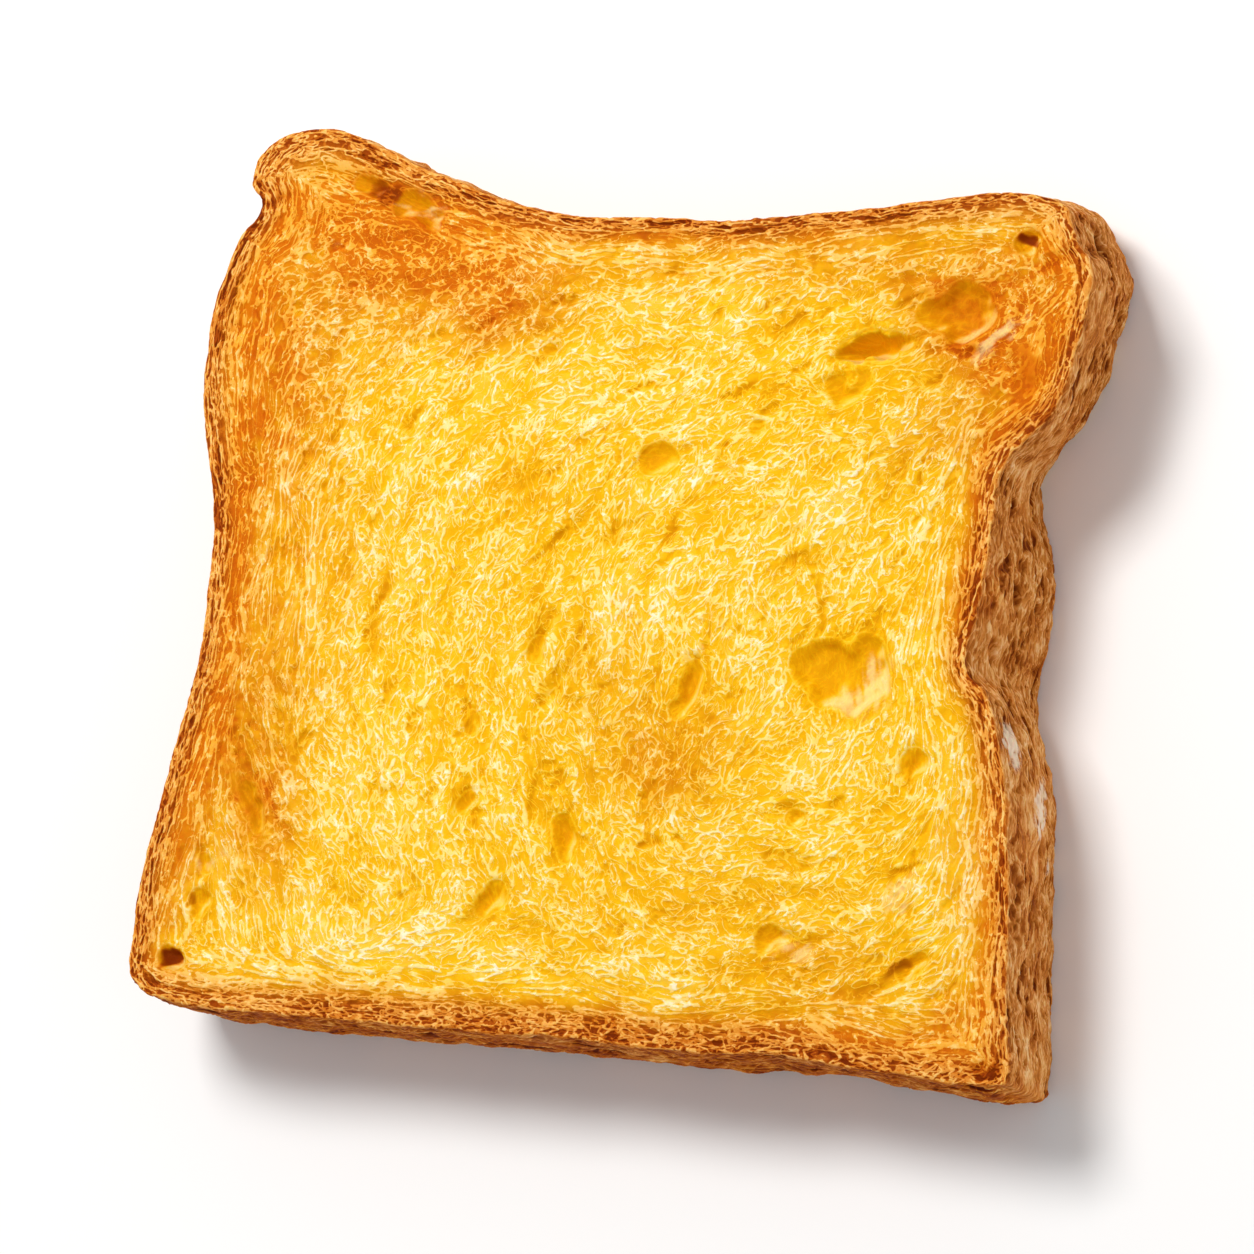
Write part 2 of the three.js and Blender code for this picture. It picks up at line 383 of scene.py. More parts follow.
# Which way the crumb's cells lie: [x, y, degrees from +X]
whorls = [
    [33, 33, 30], [5, 17, 28], [19, 22, 25], [-7, -8, 83], [-6, -15, 98], [14, -12, 92],
    [-17, -20, 113], [-15, -30, 106], [-10, -44, 20], [-1, -33, 117], [30, -28, 4],
    [30, -44, 10], [48, -46, 33], [46, -22, 84], [-46, -33, 113], [-41, 52, -10],
    [-33, 49, -12], [-4, 6, 60], [-20, 10, 62], [-36, 0, 80], [-30, 28, 40], [38, 5, 70],
    [25, -5, 75], [-45, 20, 85], [0, 35, 15], [-30, -10, 95],
]
whorl_reach = 11.0


def flow_field():
    c, s, total = 0, 0, 1e-6
    for x, y, degrees in whorls:
        weight = np.exp(-((X - x) ** 2 + (Y - y) ** 2) / (2 * whorl_reach ** 2))
        c = c + weight * cos(radians(2 * degrees))
        s = s + weight * sin(radians(2 * degrees))
        total = total + weight
    near = 1 - smooth(inset, 2.5, 12)
    c = mix(c / total, np.cos(2 * rim_way), near)
    s = mix(s / total, np.sin(2 * rim_way), near)
    return 0.5 * np.arctan2(s, c) + 0.16 * face.cloud(11, 5)


flow = flow_field()

# How wide the crust's rim is, round the slice: [x, y, length, width, direction, extra width]
rim_width = 1.7 + 0.25 * face.cloud(12, 7) + blobs([
    [0, -60, 140, 14, 0, 2.0],
    [-62, 0, 150, 14, 90, 1.5],
    [-58, 55, 16, 14, 0, 3.6],
    [-40, 57, 40, 12, -14, 1.6],
    [20, 50, 60, 8, 0, 0.8],
])
band = 1 - smooth(inset, 0.15 * rim_width, 1.75 * rim_width)    # 1 in the rim, 0 in the crumb

# Toasting: [x, y, length, width, direction in degrees, strength]
scorches = [
    [-40, 47, 36, 16, -14, 1.15], [-26, 42, 30, 12, -14, 0.95], [-16, 35, 18, 6, 4, 0.55],
    [-51, 34, 17, 28, 0, 0.75], [-51, 20, 14, 30, 0, 0.65], [-55, 2, 9, 46, 0, 0.40],
    [-53, -26, 11, 34, -18, 0.25], [-44, -33, 11, 22, 20, 0.75], [-57, -48, 8, 22, -10, 0.40],
    [57, 33, 13, 30, 10, 0.95], [50, 33, 17, 6, -8, 0.80], [52, 42, 20, 12, 0, 0.34],
    [42, 40, 26, 12, -10, 0.28], [53, 16, 9, 24, 0, 0.75], [51, 3, 6, 30, 0, 0.75],
    [11.6, -22.6, 18, 15, 20, 0.60], [2, -12, 12, 20, 0, 0.22], [-22, 36.5, 8, 7, 0, 0.35],
    [58, -55, 14, 13, 0, 0.85], [8, -57, 130, 6, 0, 0.50], [0, 46, 120, 9, 0, 0.55],
    [-13, 12, 18, 12, 40, 0.12], [57.5, -32, 8, 56, 0, 0.62], [46, 24, 22, 10, 30, 0.34],
    [20, -42, 50, 14, 4, 0.15], [-36, 36, 20, 16, -20, 0.40], [30, 44, 40, 8, 4, 0.12],
    [-48.5, 47, 8, 18, 0, -0.50], [44, -54.5, 34, 9, -4, 0.60],
    [-49.5, 32, 24, 4, 68, -0.45], [36, -47, 16, 9, 10, 0.30], [41, 19, 9, 5, 20, 0.35],
    [-47, -12, 24, 60, -8, 0.42], [45.5, 37.5, 10, 6, -15, 1.6], [-53, 22, 12, 40, 0, 0.12],
]

# How far in from the rim the toasting beside it reaches
toasted_reach = 4.5 + blobs([
    [-60, 28, 66, 26, 90, 11.0], [-57, -30, 46, 18, 80, 9.0], [0, -60, 140, 14, 0, 4.5],
    [60, 32, 40, 18, 90, 4.0], [0, 52, 120, 12, -3, 2.0], [-58, 55, 22, 22, 0, 4.0],
    [58, -30, 60, 8, 90, 1.0],
], 1.2, 81, 5)

# Deeper and paler yellows over the crumb, in the same way
goldens = [
    [-13, 12, 20, 13, 40, 0.7], [35, -9, 18, 14, -10, 1.0], [43, -28, 16, 16, 60, 0.5],
    [10, -40, 46, 16, 8, 0.10], [4, 18, 24, 8, 28, 0.6], [33, 28, 26, 12, 28, 0.9],
    [-17, -20, 7, 22, 20, 0.5], [12, -12, 8, 20, 0, 0.6], [30, -44, 26, 8, 4, 0.4],
    [-21, -12.9, 14, 18, 10, -0.8], [4.7, -2, 22, 12, 55, -0.9], [-31, -48, 24, 8, 4, -1.3],
    [33, 11, 9, 7, 30, -1.0], [-8, 24, 24, 12, 20, -0.5], [24, 8, 18, 14, 40, -0.6],
    [-28, -30, 10, 20, 15, -0.7], [0, 40, 60, 5, -3, -0.6], [54, -20, 5, 40, 0, -0.7],
    [8, -52, 50, 5, 2, -0.8], [38, -50, 34, 10, 4, 0.7], [51, -40, 9, 22, -8, -1.0],
    [11.6, -22.6, 14, 12, 20, 1.6], [-24, -50, 30, 8, 3, -1.4], [-46, -46, 10, 14, 0, -0.4],
    [-13, 13, 9, 6, 18, 0.3], [-7, 5, 9, 3, 55, 0.9], [21, -13, 3, 2, 0, 0.9],
    [-4, -26, 6, 3, 0, 0.8],
    [27, 4, 10, 4, 25, 0.7], [38, -3, 11, 3, 30, 0.8], [-33, -4, 16, 26, 10, -0.8],
    [44, 9, 12, 18, 0, -0.7], [13, 36, 16, 8, 20, -0.6], [24, -32, 4, 3, 60, 0.6],
    [47, -34, 7, 3, 40, 0.7],
    [-22, 29, 11, 7, 60, -0.9], [-30, 23, 8, 6, 25, -0.7], [-3, 14, 12, 4, 18, -1.0],
    [-20, 11, 8, 4, 45, -0.8], [33, 12, 3, 3, 0, -1.2], [13, 7, 12, 3, 87, -0.8],
    [-12, -6, 9, 3, 105, -0.8], [18, -10, 11, 2, 110, -0.8], [-13, -20, 12, 2, 105, -0.7],
    [-12, -33, 9, 3, 108, -0.8], [37, -26, 10, 4, 100, -0.8], [11, 33, 6, 5, 20, -0.6],
    [43, -8, 8, 3, 70, -0.7], [50, -38, 6, 4, 60, -0.7], [-31, -1, 18, 12, 90, -0.6],
]

yellowing = blobs(goldens, 1.2, 71)
scorched = softened(face, blobs(scorches, 1.1, 75, 6.0), 8.0)

# ---- the upper face's relief
long_reach = 9.0 + blobs([[-46, -10, 50, 110, 0, 18.0], [50, -28, 24, 70, 0, 11.0],
                          [0, -56, 110, 14, 0, 2.0], [10, 50, 90, 14, 0, 2.0]])
# 1 where the strands are short and curly
inside = smooth(inset, 0.35 * long_reach, long_reach)
layered = zone([[-53, 52, 22, 20, -20, 1.0]], 0.15)
crisp = inside * smooth(scorched, 0.25, 0.7)      # where the strands have shrunk to squiggles
curly = flow + mix(0.08, 0.50, inside) * face.cloud(14, 1.7)


def stringy(chart, seed, size, direction, reach):
    """Noise with bumps drawn out along a field of directions, and a spread of 1."""
    grain = chart.combed(chart.cloud(seed, size), direction, 0.5 * size, 3)
    return level(chart.combed(grain, direction, reach, 2 * int(np.ceil(reach / size)) + 1))


def crumb_noise(seed, size):
    """Such noise over the crumb: long beside the crust, and short and curly inside."""
    long = stringy(face, seed, size, flow, 4.2)
    short = stringy(face, seed, size, curly, 0.65)
    tiny = stringy(face, seed + 100, size, flow + 1.1 * face.cloud(67, 1.1), 0.4)
    return level(mix(mix(long, short, inside), tiny, crisp))


def strings(chart, noise, width):
    """Strands lie where a noise is 0: how far each place is from there, in strand widths."""
    up, along = np.gradient(noise, chart.step)
    if chart.loop:
        along = (np.roll(noise, -1, 1) - np.roll(noise, 1, 1)) / (2 * chart.step)
    steepness = np.sqrt(softened(chart, up ** 2 + along ** 2, 0.3).clip(0))
    return noise / (steepness + 0.2 * steepness.mean()) / width


def raised(strands):
    return np.exp(-(strands / 0.55) ** 2)


# Soft dimples with golden floors: [x, y, length, width, direction, depth]
dimples = [
    [-13, 13, 9, 5, 18, 0.7], [-12, 30, 4, 2.5, 20, 0.8], [-7, 5, 9, 2.5, 55, 0.8],
    [-7, -7, 9, 2.5, 85, 0.9], [-5, -14, 8, 3.5, 75, 1.0], [14, -12, 8, 3.5, 100, 1.0],
    [21, -13, 3, 2.5, 0, 0.8], [-17, -20, 6, 2, 100, 0.9], [-15, -30, 9, 3, 118, 1.0],
    [-20, -30, 4, 2, 90, 0.7], [0, -33, 9, 4.5, 137, 1.0], [-4, -26, 6, 3, 165, 0.8],
    [-11, -44, 9, 4.5, 42, 1.0], [11, -33, 3, 2, 0, 0.8], [30, -28, 5, 3, 0, 0.8],
    [46, -21, 8, 2.5, 84, 0.9], [30, -44, 5, 3, 16, 0.8], [47, -34, 7, 2.5, 40, 0.9],
    [-1, -16, 5, 3.5, 0, 0.7], [-37, 1, 6, 2, 93, 0.7], [-43, -3, 6, 2, 100, 0.7],
    [-39, 11, 6, 2, 100, 0.7], [-32, -9, 12, 3, 102, 0.8], [5, 17, 4, 2, 0, 0.7],
    [15, 17, 5, 2, 60, 0.7], [16, 26, 6, 2, 24, 0.8], [19, 38, 7, 2, 20, 0.7],
    [9, 8, 8, 2, 76, 0.7], [2, 7, 9, 4, 35, 0.9], [38, -3, 11, 3, 30, 0.8],
    [27, 4, 10, 3.5, 25, 0.7], [-28, -44, 5, 2.5, 60, 0.6], [-33, -20, 8, 2, 105, 0.7],
]
# Others are scattered between them
dent_size = 3.0 * np.exp(0.25 * face.cloud(24, 8))
dent_jog = 0.3 * face.cloud(25, 1.6), 0.3 * face.cloud(26, 1.6)
dent_gap, dent_share = foam(face, 32, dent_size, 2.2 + 0 * X, flow, 0.4, dent_jog)
dents = smooth(dent_gap, 0.05, 1.1) * smooth(dent_share, 0.80, 0.98) * smooth(inset, 3, 8)
dents = np.maximum(0.8 * dents, smooth(blobs(dimples, 0.45, 33, 1.6), 0.1, 1.0))
dent_y, dent_x = np.gradient(softened(face, dents, 0.8), face.step)
lit = np.clip(-0.8 * dent_x + 0.7 * dent_y, -1, 1)     # the side of a dent that faces the light

# Pale tufts have more and thicker strands, and golden pools have fewer
tufts = level(face.combed(face.cloud(56, 1.7), flow, 3.0, 7))
waves = 0.6 * level(face.combed(face.cloud(57, 3.4), flow, 4.0, 7)) - 1.0 * yellowing
dense = smooth(0.7 * waves + 0.7 * tufts - 1.6 * dents, -1.8, 0.5)
broken = level(face.combed(face.cloud(54, 0.9), flow, 4.0, 9))
broken = mix(broken, face.cloud(69, 0.9), inside)
fade_a = mix(0.50, 1.0, dense) * smooth(broken, -1.5, 0.7) * mix(1, 1.2, crisp)
fade_b = mix(0.45, 1.0, dense) * smooth(face.cloud(55, 1.1), -1.0, 1.0) * mix(1, 0.6, crisp)
in_rim = np.maximum(smooth(band, 0.1, 0.7), 0.85 * layered)
beside_rim = 1 + 0.5 * (1 - smooth(inset, 3, 10))
fade_a = mix(fade_a * beside_rim, 1, 0.8 * in_rim)
fade_b = mix(fade_b * beside_rim, 1, 0.8 * in_rim)
foamy = in_rim * zone([[20, -60, 150, 13, 0, 1.0]])     # the lower rim
rim_noise = stringy(face, 59, 0.52, rim_way + 0.09 * face.cloud(60, 1.5), 3.0)
rim_noise_b = stringy(face, 65, 0.42, rim_way + 0.05 * face.cloud(66, 1.2), 1.8)
rim_noise = mix(rim_noise, stringy(face, 59, 0.50, rim_way + 0.6 * face.cloud(60, 1.1), 0.7), foamy)
string_a = strings(face, mix(crumb_noise(51, 0.76), rim_noise, in_rim), mix(0.40, 0.31, in_rim))
string_b = strings(face, mix(crumb_noise(52, 0.58), rim_noise_b, in_rim), mix(0.32, 0.25, in_rim))
string_a = np.clip(string_a / np.maximum(fade_a, 0.1), -6, 6)
string_b = np.clip(string_b / np.maximum(fade_b, 0.1), -6, 6)
# Gaps between the strands of the rim, painted dark as shade in them
slots = in_rim * smooth(rim_noise, 1.05, 1.6) * (1 - 0.5 * foamy)
strand = np.maximum(raised(string_a), 0.85 * raised(string_b))

# Open cells between the strands. Most are all but closed.
big_cells = zone([[-52, -43, 16, 26, 0, 1.0], [-45, -33, 12, 20, 20, 0.8],
                  [44, -48, 20, 10, 30, 0.8], [33, 33, 22, 12, 25, 0.5],
                  [-10, -30, 40, 30, 0, 0.35]], 0.1, 0.9)
streaky = zone([[-50, -5, 28, 120, 0, 1.0], [51, -28, 14, 60, 0, 0.8]], 0.2, 0.8)
streaky *= smooth(inset, 3, 6)
big_cells = np.maximum(big_cells, 0.6 * streaky)
cell_size = mix(0.62, 1.15, smooth(inset, 2, 9)) * (1 + 0.9 * big_cells)
cell_size *= np.exp(0.16 * face.cloud(21, 6))
cell_stretch = mix(3.4, 2.2, smooth(inset, 1.5, 9)) * np.exp(0.2 * face.cloud(22, 7))
cell_stretch = mix(mix(cell_stretch, 4.0, streaky), 1.5, foamy)
jog_x = 0.10 * face.cloud(41, 0.9) + 0.30 * face.cloud(42, 3.2)
jog_y = 0.10 * face.cloud(43, 0.9) + 0.30 * face.cloud(44, 3.2)
gap, share = foam(face, 31, cell_size, cell_stretch, flow, 0.34, (jog_x, jog_y))
rounded = smooth(share, 0.25, 0.6) * mix(0.55, 1, np.maximum(big_cells, foamy))
wall = np.exp(-(gap / 0.16) ** 2) * rounded
string_c = np.clip(4.0 * gap / np.maximum(rounded, 0.1), 0, 6)
bowl = smooth(gap, 0.06, 0.9) * smooth(share, 0.35, 0.95)

# The rim is all lines along the crust, with open cells between them
open_rim = 0.5 + 0.5 * zone([[20, -60, 110, 10, 0, 1.0]])
bowl = mix(0.8 * bowl, open_rim * smooth(gap, 0.05, 0.7) * smooth(share, 0.3, 1), band)
relief = mix(0.14, 0.24, band) * strand + 0.06 * wall - mix(0.20, 0.34, band) * cell_size * bowl
relief += 0.04 * tufts + 0.07 * waves - 0.17 * slots - 0.40 * dents
relief *= mix(0.45, 1, smooth(inset, -0.1, 1.4))

# Folds and ridges in the crumb and the rim: [x, y, length, width, direction, height]
relief += blobs([
    [50.5, 33.2, 12, 1.6, -6, 0.45], [47.5, 33.0, 6, 1.4, 14, 0.30],
    [56.6, 46.2, 6, 1.8, 30, 0.55], [57.4, 44.0, 5, 1.2, 70, 0.35],
    [-39.0, 50.2, 10, 1.6, -20, 0.35], [-56.5, 52.5, 9, 1.4, 62, 0.35],
    [-54.2, 52.0, 8, 1.2, 66, 0.30], [1.5, 49.3, 4, 1.2, -4, 0.35],
], 0.3, 83, 3.0)
relief -= blobs([
    [55.0, 30.6, 7.5, 3.0, 88, 0.35], [-38.8, 51.8, 5, 3.2, -18, 0.45],
    [-33.5, 49.2, 7, 2.6, -12, 0.30], [-45.0, 43.5, 5, 3, 60, 0.25],
    [60.5, -58.5, 5, 3, 20, 0.45], [-49.5, -29.5, 11, 2.2, 103, 0.30],
    [-45.5, -34.0, 9, 2.4, 106, 0.30], [-55.5, -50.0, 3, 2, 80, 0.4],
], 0.3, 83, 3.0)

# Thin seams and small smooth hollows, painted darker as shade in them, the seams browner too: [x,
# y, length, width, direction, strength]
seams = blobs([
    [46.0, 33.0, 12, 1.3, 3, 0.9], [51.5, 34.2, 5, 1.2, 25, 0.6], [-55.6, 49.6, 6, 1.1, 25, 0.9],
    [56.8, 44.8, 5, 1.1, 40, 0.7], [59.5, -57.5, 5, 1.6, 30, 0.8],
    [-43.8, -30.5, 7, 1.0, 108, 0.4], [2.0, 48.6, 4, 1.0, -4, 0.5], [53.0, 37.5, 6, 1.2, 75, 0.5],
], 0.35, 89, 2.2)
hollows = np.clip(blobs([
    [55.0, 30.6, 8, 3.2, 88, 1.1], [-49.5, -29.5, 12, 2.6, 103, 0.9],
    [-45.5, -35.0, 11, 3.0, 106, 0.9], [43, 28.5, 5, 4, 0, 0.5],
], 0.5, 91, 2.5), 0, 1)
relief = relief * (1 - 0.75 * hollows) - 0.30 * seams

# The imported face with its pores, looked up at wandering places so that their rims are ragged
wander_x = 0.40 * face.cloud(61, 1.8) + 0.7 * face.cloud(63, 4.0)
wander_y = 0.40 * face.cloud(62, 1.8) + 0.7 * face.cloud(64, 4.0)

# The face as it would be without pores, and how deep a pore lies under it
unbroken = face_height
for _ in range(14):
    unbroken = np.maximum(face_height, softened(probe_chart, unbroken, 9))
unbroken = softened(probe_chart, unbroken, 5)
ragged = probe_chart.look(face_height, X + wander_x, Y + wander_y)
level_face = probe_chart.look(unbroken, X + wander_x, Y + wander_y)
pit = np.clip(level_face - softened(face, ragged, 0.6), 0, 9)
breadth = softened(face, pit, 3.4) / (softened(face, pit, 0.8) + 0.08)
broad = smooth(breadth, 0.45, 0.75)               # 1 in the wide pores, 0 in the narrow ones
deep = smooth(softened(face, pit, 2.0), 0.7, 1.4)
pit = mix(softened(face, pit, 1.5), pit, np.maximum(deep, 0.25)) * mix(0.6, 1, broad)
packed = level_face - pit
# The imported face's own gentle waves are no pores
peak = softened(face, pit ** 2, 2.0) / (softened(face, pit, 2.0) + 0.03)
pore = pit * smooth(peak, 0.42, 0.65)
in_pit = smooth(pore, 0.15, 0.75)
# A strand runs round each pore's mouth
mouth = np.abs(strings(face, softened(face, pore, 0.5) - 0.22, 0.40))
mouth = mouth * mix(1, 1.6, smooth(face.cloud(68, 2.0), 0, 1))
mouth = mouth + 9 * (1 - smooth(softened(face, pore, 2.5), 0.05, 0.15))
string_c = np.minimum(string_c, mouth)
halo = smooth(softened(face, pore, 5.0), 0.05, 0.5)
relief *= mix(1, mix(0.6, 0.30, broad), in_pit)
top = packed + relief

# ---- what the paint follows
rise_y, rise_x = np.gradient(softened(face, packed, 1.2), face.step)
pore_wall_highlight = in_pit * smooth(0.8 * rise_x - 0.7 * rise_y, 0.05, 0.6)   # painted highlight on the wall of a pore that faces the light
fibres = level(face.combed(face.cloud(88, 0.5), flow + 0.4, 2.4, 11))
# Paler torn walls of pores: torn fibres, and a painted highlight where they lie on the side of a
# pore that faces the light
torn_and_highlit = np.clip(blobs([
    [38, -11, 11, 8, 30, 0.8], [50.0, 35.0, 9, 4.2, 40, 1.0], [-33, 49, 9, 4, -15, 0.6],
    [-44.5, 43, 5, 7, 60, 0.2], [13.5, -5.5, 5, 4, 30, 0.6], [-50.5, -40.5, 4, 8, -70, 0.5],
    [33, -45.5, 7, 4, 10, 0.6], [46.5, -36.5, 6, 5, 60, 0.6], [-8, 24, 5, 5, 0, 0.3],
], 0.8, 85, 2.5) * (1 + 0.35 * fibres) + 0.4 * pore_wall_highlight, 0, 1)
# Small deep holes, painted dark brown as shade in them
shaded_holes = smooth(blobs([
    [-55.8, -54, 3.4, 2.4, 5, 1.0], [53.1, 47.8, 3.2, 1.7, -15, 0.75],
    [47, -46.2, 5, 1.8, 33, 0.45], [-54, -46, 2.6, 1.6, 100, 0.4], [-39.3, 51.6, 5, 2.8, -18, 0.6],
    [60.6, -58.3, 3.5, 1.8, 20, 0.7],
], 0.25, 93, 1.5, 4), 0.15, 0.75)
tear = blobs([[54.9, -4.6, 9.5, 2.4, 86, 1.0]])    # where the skin has split away at the waist
# How light the crumb is painted: darker in the cell bowls, as shade in them
crumb_light = mix(0.26, 0.23, band) + 0.05 * wall - 0.13 * bowl + 0.03 * tufts + 0.05 * waves
# Painted highlight on the side of a dent that faces the light, and painted shade in the dents
crumb_light += 0.22 * lit - 0.09 * dents - 0.05 * halo
# Pores are painted darker, as shade in them, with a painted highlight on the wall that faces the
# light
crumb_light = mix(crumb_light, 0.15 * crumb_light + 0.55 * pore_wall_highlight + 0.08, in_pit * 0.92)
crumb_light -= 0.05 * foamy
# Painted shade in the small deep holes, the hollows and the seams
crumb_light -= 0.5 * shaded_holes + 0.1 * tear + 0.10 * hollows + 0.40 * seams
# The deepest pores are painted a little lighter again; wide pores and the rim's gaps are painted
# darker, as shade in them
crumb_light += 0.12 * smooth(pit, 1.8, 4) - 0.04 * in_pit * broad - 0.07 * slots
crumb_light = np.clip(crumb_light, -0.4, 1)
sleek = in_pit * mix(0.7, 1, broad) * (1 - 0.6 * torn_and_highlit) + 0.9 * tear + 0.8 * hollows
sleek += 0.35 * dents + 0.25 * halo
sleek = np.clip(sleek, 0, 1)
golden = 0.38 + 0.20 * yellowing + 0.03 * face.cloud(73, 9) - 0.16 * waves - 0.05 * tufts
golden += 0.60 * dents + 0.40 * halo
golden = mix(golden, 0.8, in_pit)
toasting = scorched.copy()
toasting *= 1 + 0.10 * face.cloud(77, 3.0) + 0.10 * face.cloud(78, 0.9)
toasting += 0.62 * (1 - smooth(inset, 0.4, toasted_reach)) + 0.04 * face.cloud(79, 2.2)
toasting *= mix(1, 0.55, in_pit)
# The dents are painted a little browner too, as shade in them
toasting += 0.06 * dents
# The small deep holes and the seams are painted browner, as shade in them, and the holes take the
# rim's darker colours
toasting += 0.7 * shaded_holes + 0.5 * tear + 0.45 * seams
toasting = np.clip(toasting, 0, 1.2)
band = np.clip(np.maximum(band, 0.9 * shaded_holes) - 0.7 * tear, 0, 1)

# ---- the crust's chart
side = Chart((0, 0), (perimeter, thickness), 0.16, loop=True)
S, Z = np.meshgrid(side.x, side.y)


def side_blobs(patches):
    """Soft ovals on the crust: [x, y, z, length, height, slope, strength], round the slice."""
    total = np.zeros_like(S)
    for x, y, z, length, tall, slope, strength in patches:
        k = int(np.argmin(np.sum((ring - [x, y]) ** 2, 1)))
        s = (S - walked[k] + perimeter / 2) % perimeter - perimeter / 2
        a = radians(slope)
        u = (s * cos(a) + (Z - z) * sin(a)) / (length / 2)
        v = ((Z - z) * cos(a) - s * sin(a)) / (tall / 2)
        total += strength * np.exp(-1.2 * (u * u + v * v))
    return total


along_crust = 0.25 * side.cloud(101, 5) + 0.2 * side.cloud(100, 1.6)
side_size = 1.25 * np.exp(0.2 * side.cloud(102, 7))
side_stretch = 2.4 * np.exp(0.3 * side.cloud(103, 9))
side_jog = 0.22 * side.cloud(106, 1.4), 0.22 * side.cloud(107, 1.4)
s_gap, s_share = foam(side, 104, side_size, side_stretch, along_crust, 0.35, side_jog)
skinny = smooth(side.cloud(108, 10), 0.4, 1.6) * 0.7           # where the skin has fewer pits
s_noise = stringy(side, 109, 0.85, along_crust, 2.0)
s_string_a = np.clip(strings(side, s_noise, 0.42), -6, 6)
s_string_b = strings(side, stringy(side, 115, 0.7, along_crust, 1.2), 0.36).clip(-6, 6)
# Gaps between the crust's strands, which the material paints dark as shade in them
s_slots = smooth(s_noise, 1.05, 1.6) * (1 - 0.6 * skinny)
s_wall = np.exp(-(s_gap / 0.24) ** 2)
s_open = smooth(s_share, 0.45, 0.9) * (1 - skinny)
s_bowl = smooth(s_gap, 0.05, 0.8) * s_open
s_string_c = np.clip(3.0 * s_gap / np.maximum(s_open, 0.1), 0, 6)
s_ridge = np.maximum(np.maximum(raised(s_string_a), 0.8 * raised(s_string_b)), s_wall * s_open)
near_top = smooth(thickness - Z, 0.6, 2.2)
side_relief = 0.20 * s_ridge - 0.52 * s_bowl + 0.16 * side.cloud(114, 3.2)
# Splits and open cells in the crust, painted darker as shade in them: [x, y, z, length, height,
# slope, strength]
splits = smooth(side_blobs([
    [58.8, 50, 13.5, 4.5, 3.0, -40, 1.0], [59.6, 47.6, 17.5, 4, 1.8, -30, 0.9],
    [58.0, 52, 18.0, 3, 1.6, -50, 0.8], [59.6, 36, 9, 8, 1.4, 20, 0.8],
    [53.6, 6.8, 17.5, 4, 1.8, -35, 1.0], [54.4, 2.2, 6.3, 6, 1.8, 45, 0.8],
    [53.6, 3.4, 13.6, 6, 1.3, 30, 1.0], [52.9, -5, 16.6, 6, 2.0, 40, 1.0],
    [54, -2, 9, 6, 1.4, -30, 0.8], [53, 12, 9, 5, 1.2, 10, 0.8], [52.4, 15, 16, 4, 1.1, 60, 0.8],
    [56.3, -15, 15.8, 5, 1.3, -8, 0.7], [59.8, -27, 10, 8, 1.1, 5, 0.6],
    [61.2, -46, 14, 7, 1.1, -8, 0.7], [60.6, -36, 5, 6, 1.2, 12, 0.7],
    [-20, -59, 12, 7, 1.4, 6, 0.8], [12, -59, 9, 9, 1.3, -5, 0.8], [40, -58.8, 14, 7, 1.3, 4, 0.8],
]) * (1 + 0.25 * side.cloud(116, 1.2)), 0.3, 0.75)
side_relief = (side_relief - 0.20 * s_slots - 0.5 * splits) * mix(0.4, 1, near_top)
# How light the crust is painted: darker in its pits, as shade in them
side_light = 0.44 + 0.15 * s_wall * s_open - 0.33 * s_bowl + 0.10 * side.cloud(110, 2.6)
# Painted shade on part of the crust's right side, by the ear
side_light += side_blobs([[60, 36, 11, 34, 40, 0, -0.09]])
side_light = np.clip(side_light + 0.10 * skinny - 0.45 * splits, -0.3, 1)
s_sleek = np.clip(0.55 * skinny + 0.8 * s_bowl, 0, 1)
flour = np.clip(side_blobs([
    [56, -17, 19, 7, 5.5, -30, 1.4], [57.5, -24, 10, 12, 5.5, -48, 1.2],
    [58.5, -30, 6, 6, 3, -40, 0.6], [59, -12, 12, 3, 2, 0, 0.4],
]) * (1.1 + 0.35 * side.cloud(111, 1.1)) - 0.12, 0, 1.0)
# The crust that faces the slice's foot is painted darker, as shade on the side away from the key
# light, and more caramel, partly as painted shade; the crust near the lower face is more caramel
# too
facing_foot = np.interp(S, walked[:-1], -blurred(outward, 20)[:, 1])
side_light -= 0.08 * smooth(facing_foot, 0.3, 0.9)
caramel_and_shade = 0.14 + 0.86 * smooth(facing_foot, 0.2, 0.8) + 0.14 * side.cloud(112, 12)
caramel_and_shade = np.clip(caramel_and_shade + 0.10 * side.cloud(113, 3) + 0.35 * smooth(Z, 2.5, 0), 0, 1)

# ---- the lower face's relief
under = Chart(low[:2] - margin, high[:2] + margin, 0.2)
U, V = np.meshgrid(under.x, under.y)
u_inset = face.look(inset, U, V)
u_flow = face.look(flow, U, V)
u_size = mix(0.7, 1.3, smooth(u_inset, 1, 9)) * np.exp(0.16 * under.cloud(130, 6))
u_stretch = mix(3.2, 2.0, smooth(u_inset, 1.5, 9))
u_jog = 0.25 * under.cloud(135, 2), 0.25 * under.cloud(136, 2)
u_gap, u_share = foam(under, 131, u_size, u_stretch, u_flow, 0.34, u_jog)
u_string_a = strings(under, stringy(under, 137, 0.95, u_flow, 2.0), 0.42).clip(-6, 6)
u_string_b = strings(under, stringy(under, 138, 0.8, u_flow, 1.2), 0.38).clip(-6, 6)
u_strand = np.maximum(raised(u_string_a), 0.85 * raised(u_string_b))
u_wall = np.exp(-(u_gap / 0.25) ** 2)
u_string_c = np.clip(4.0 * u_gap / np.maximum(smooth(u_share, 0.2, 0.6), 0.1), 0, 6)
u_bowl = smooth(u_gap, 0.05, 0.9) * smooth(u_share, 0.2, 0.95)
u_packed = softened(under, probe_chart.look(foot_height, U, V), 0.6)
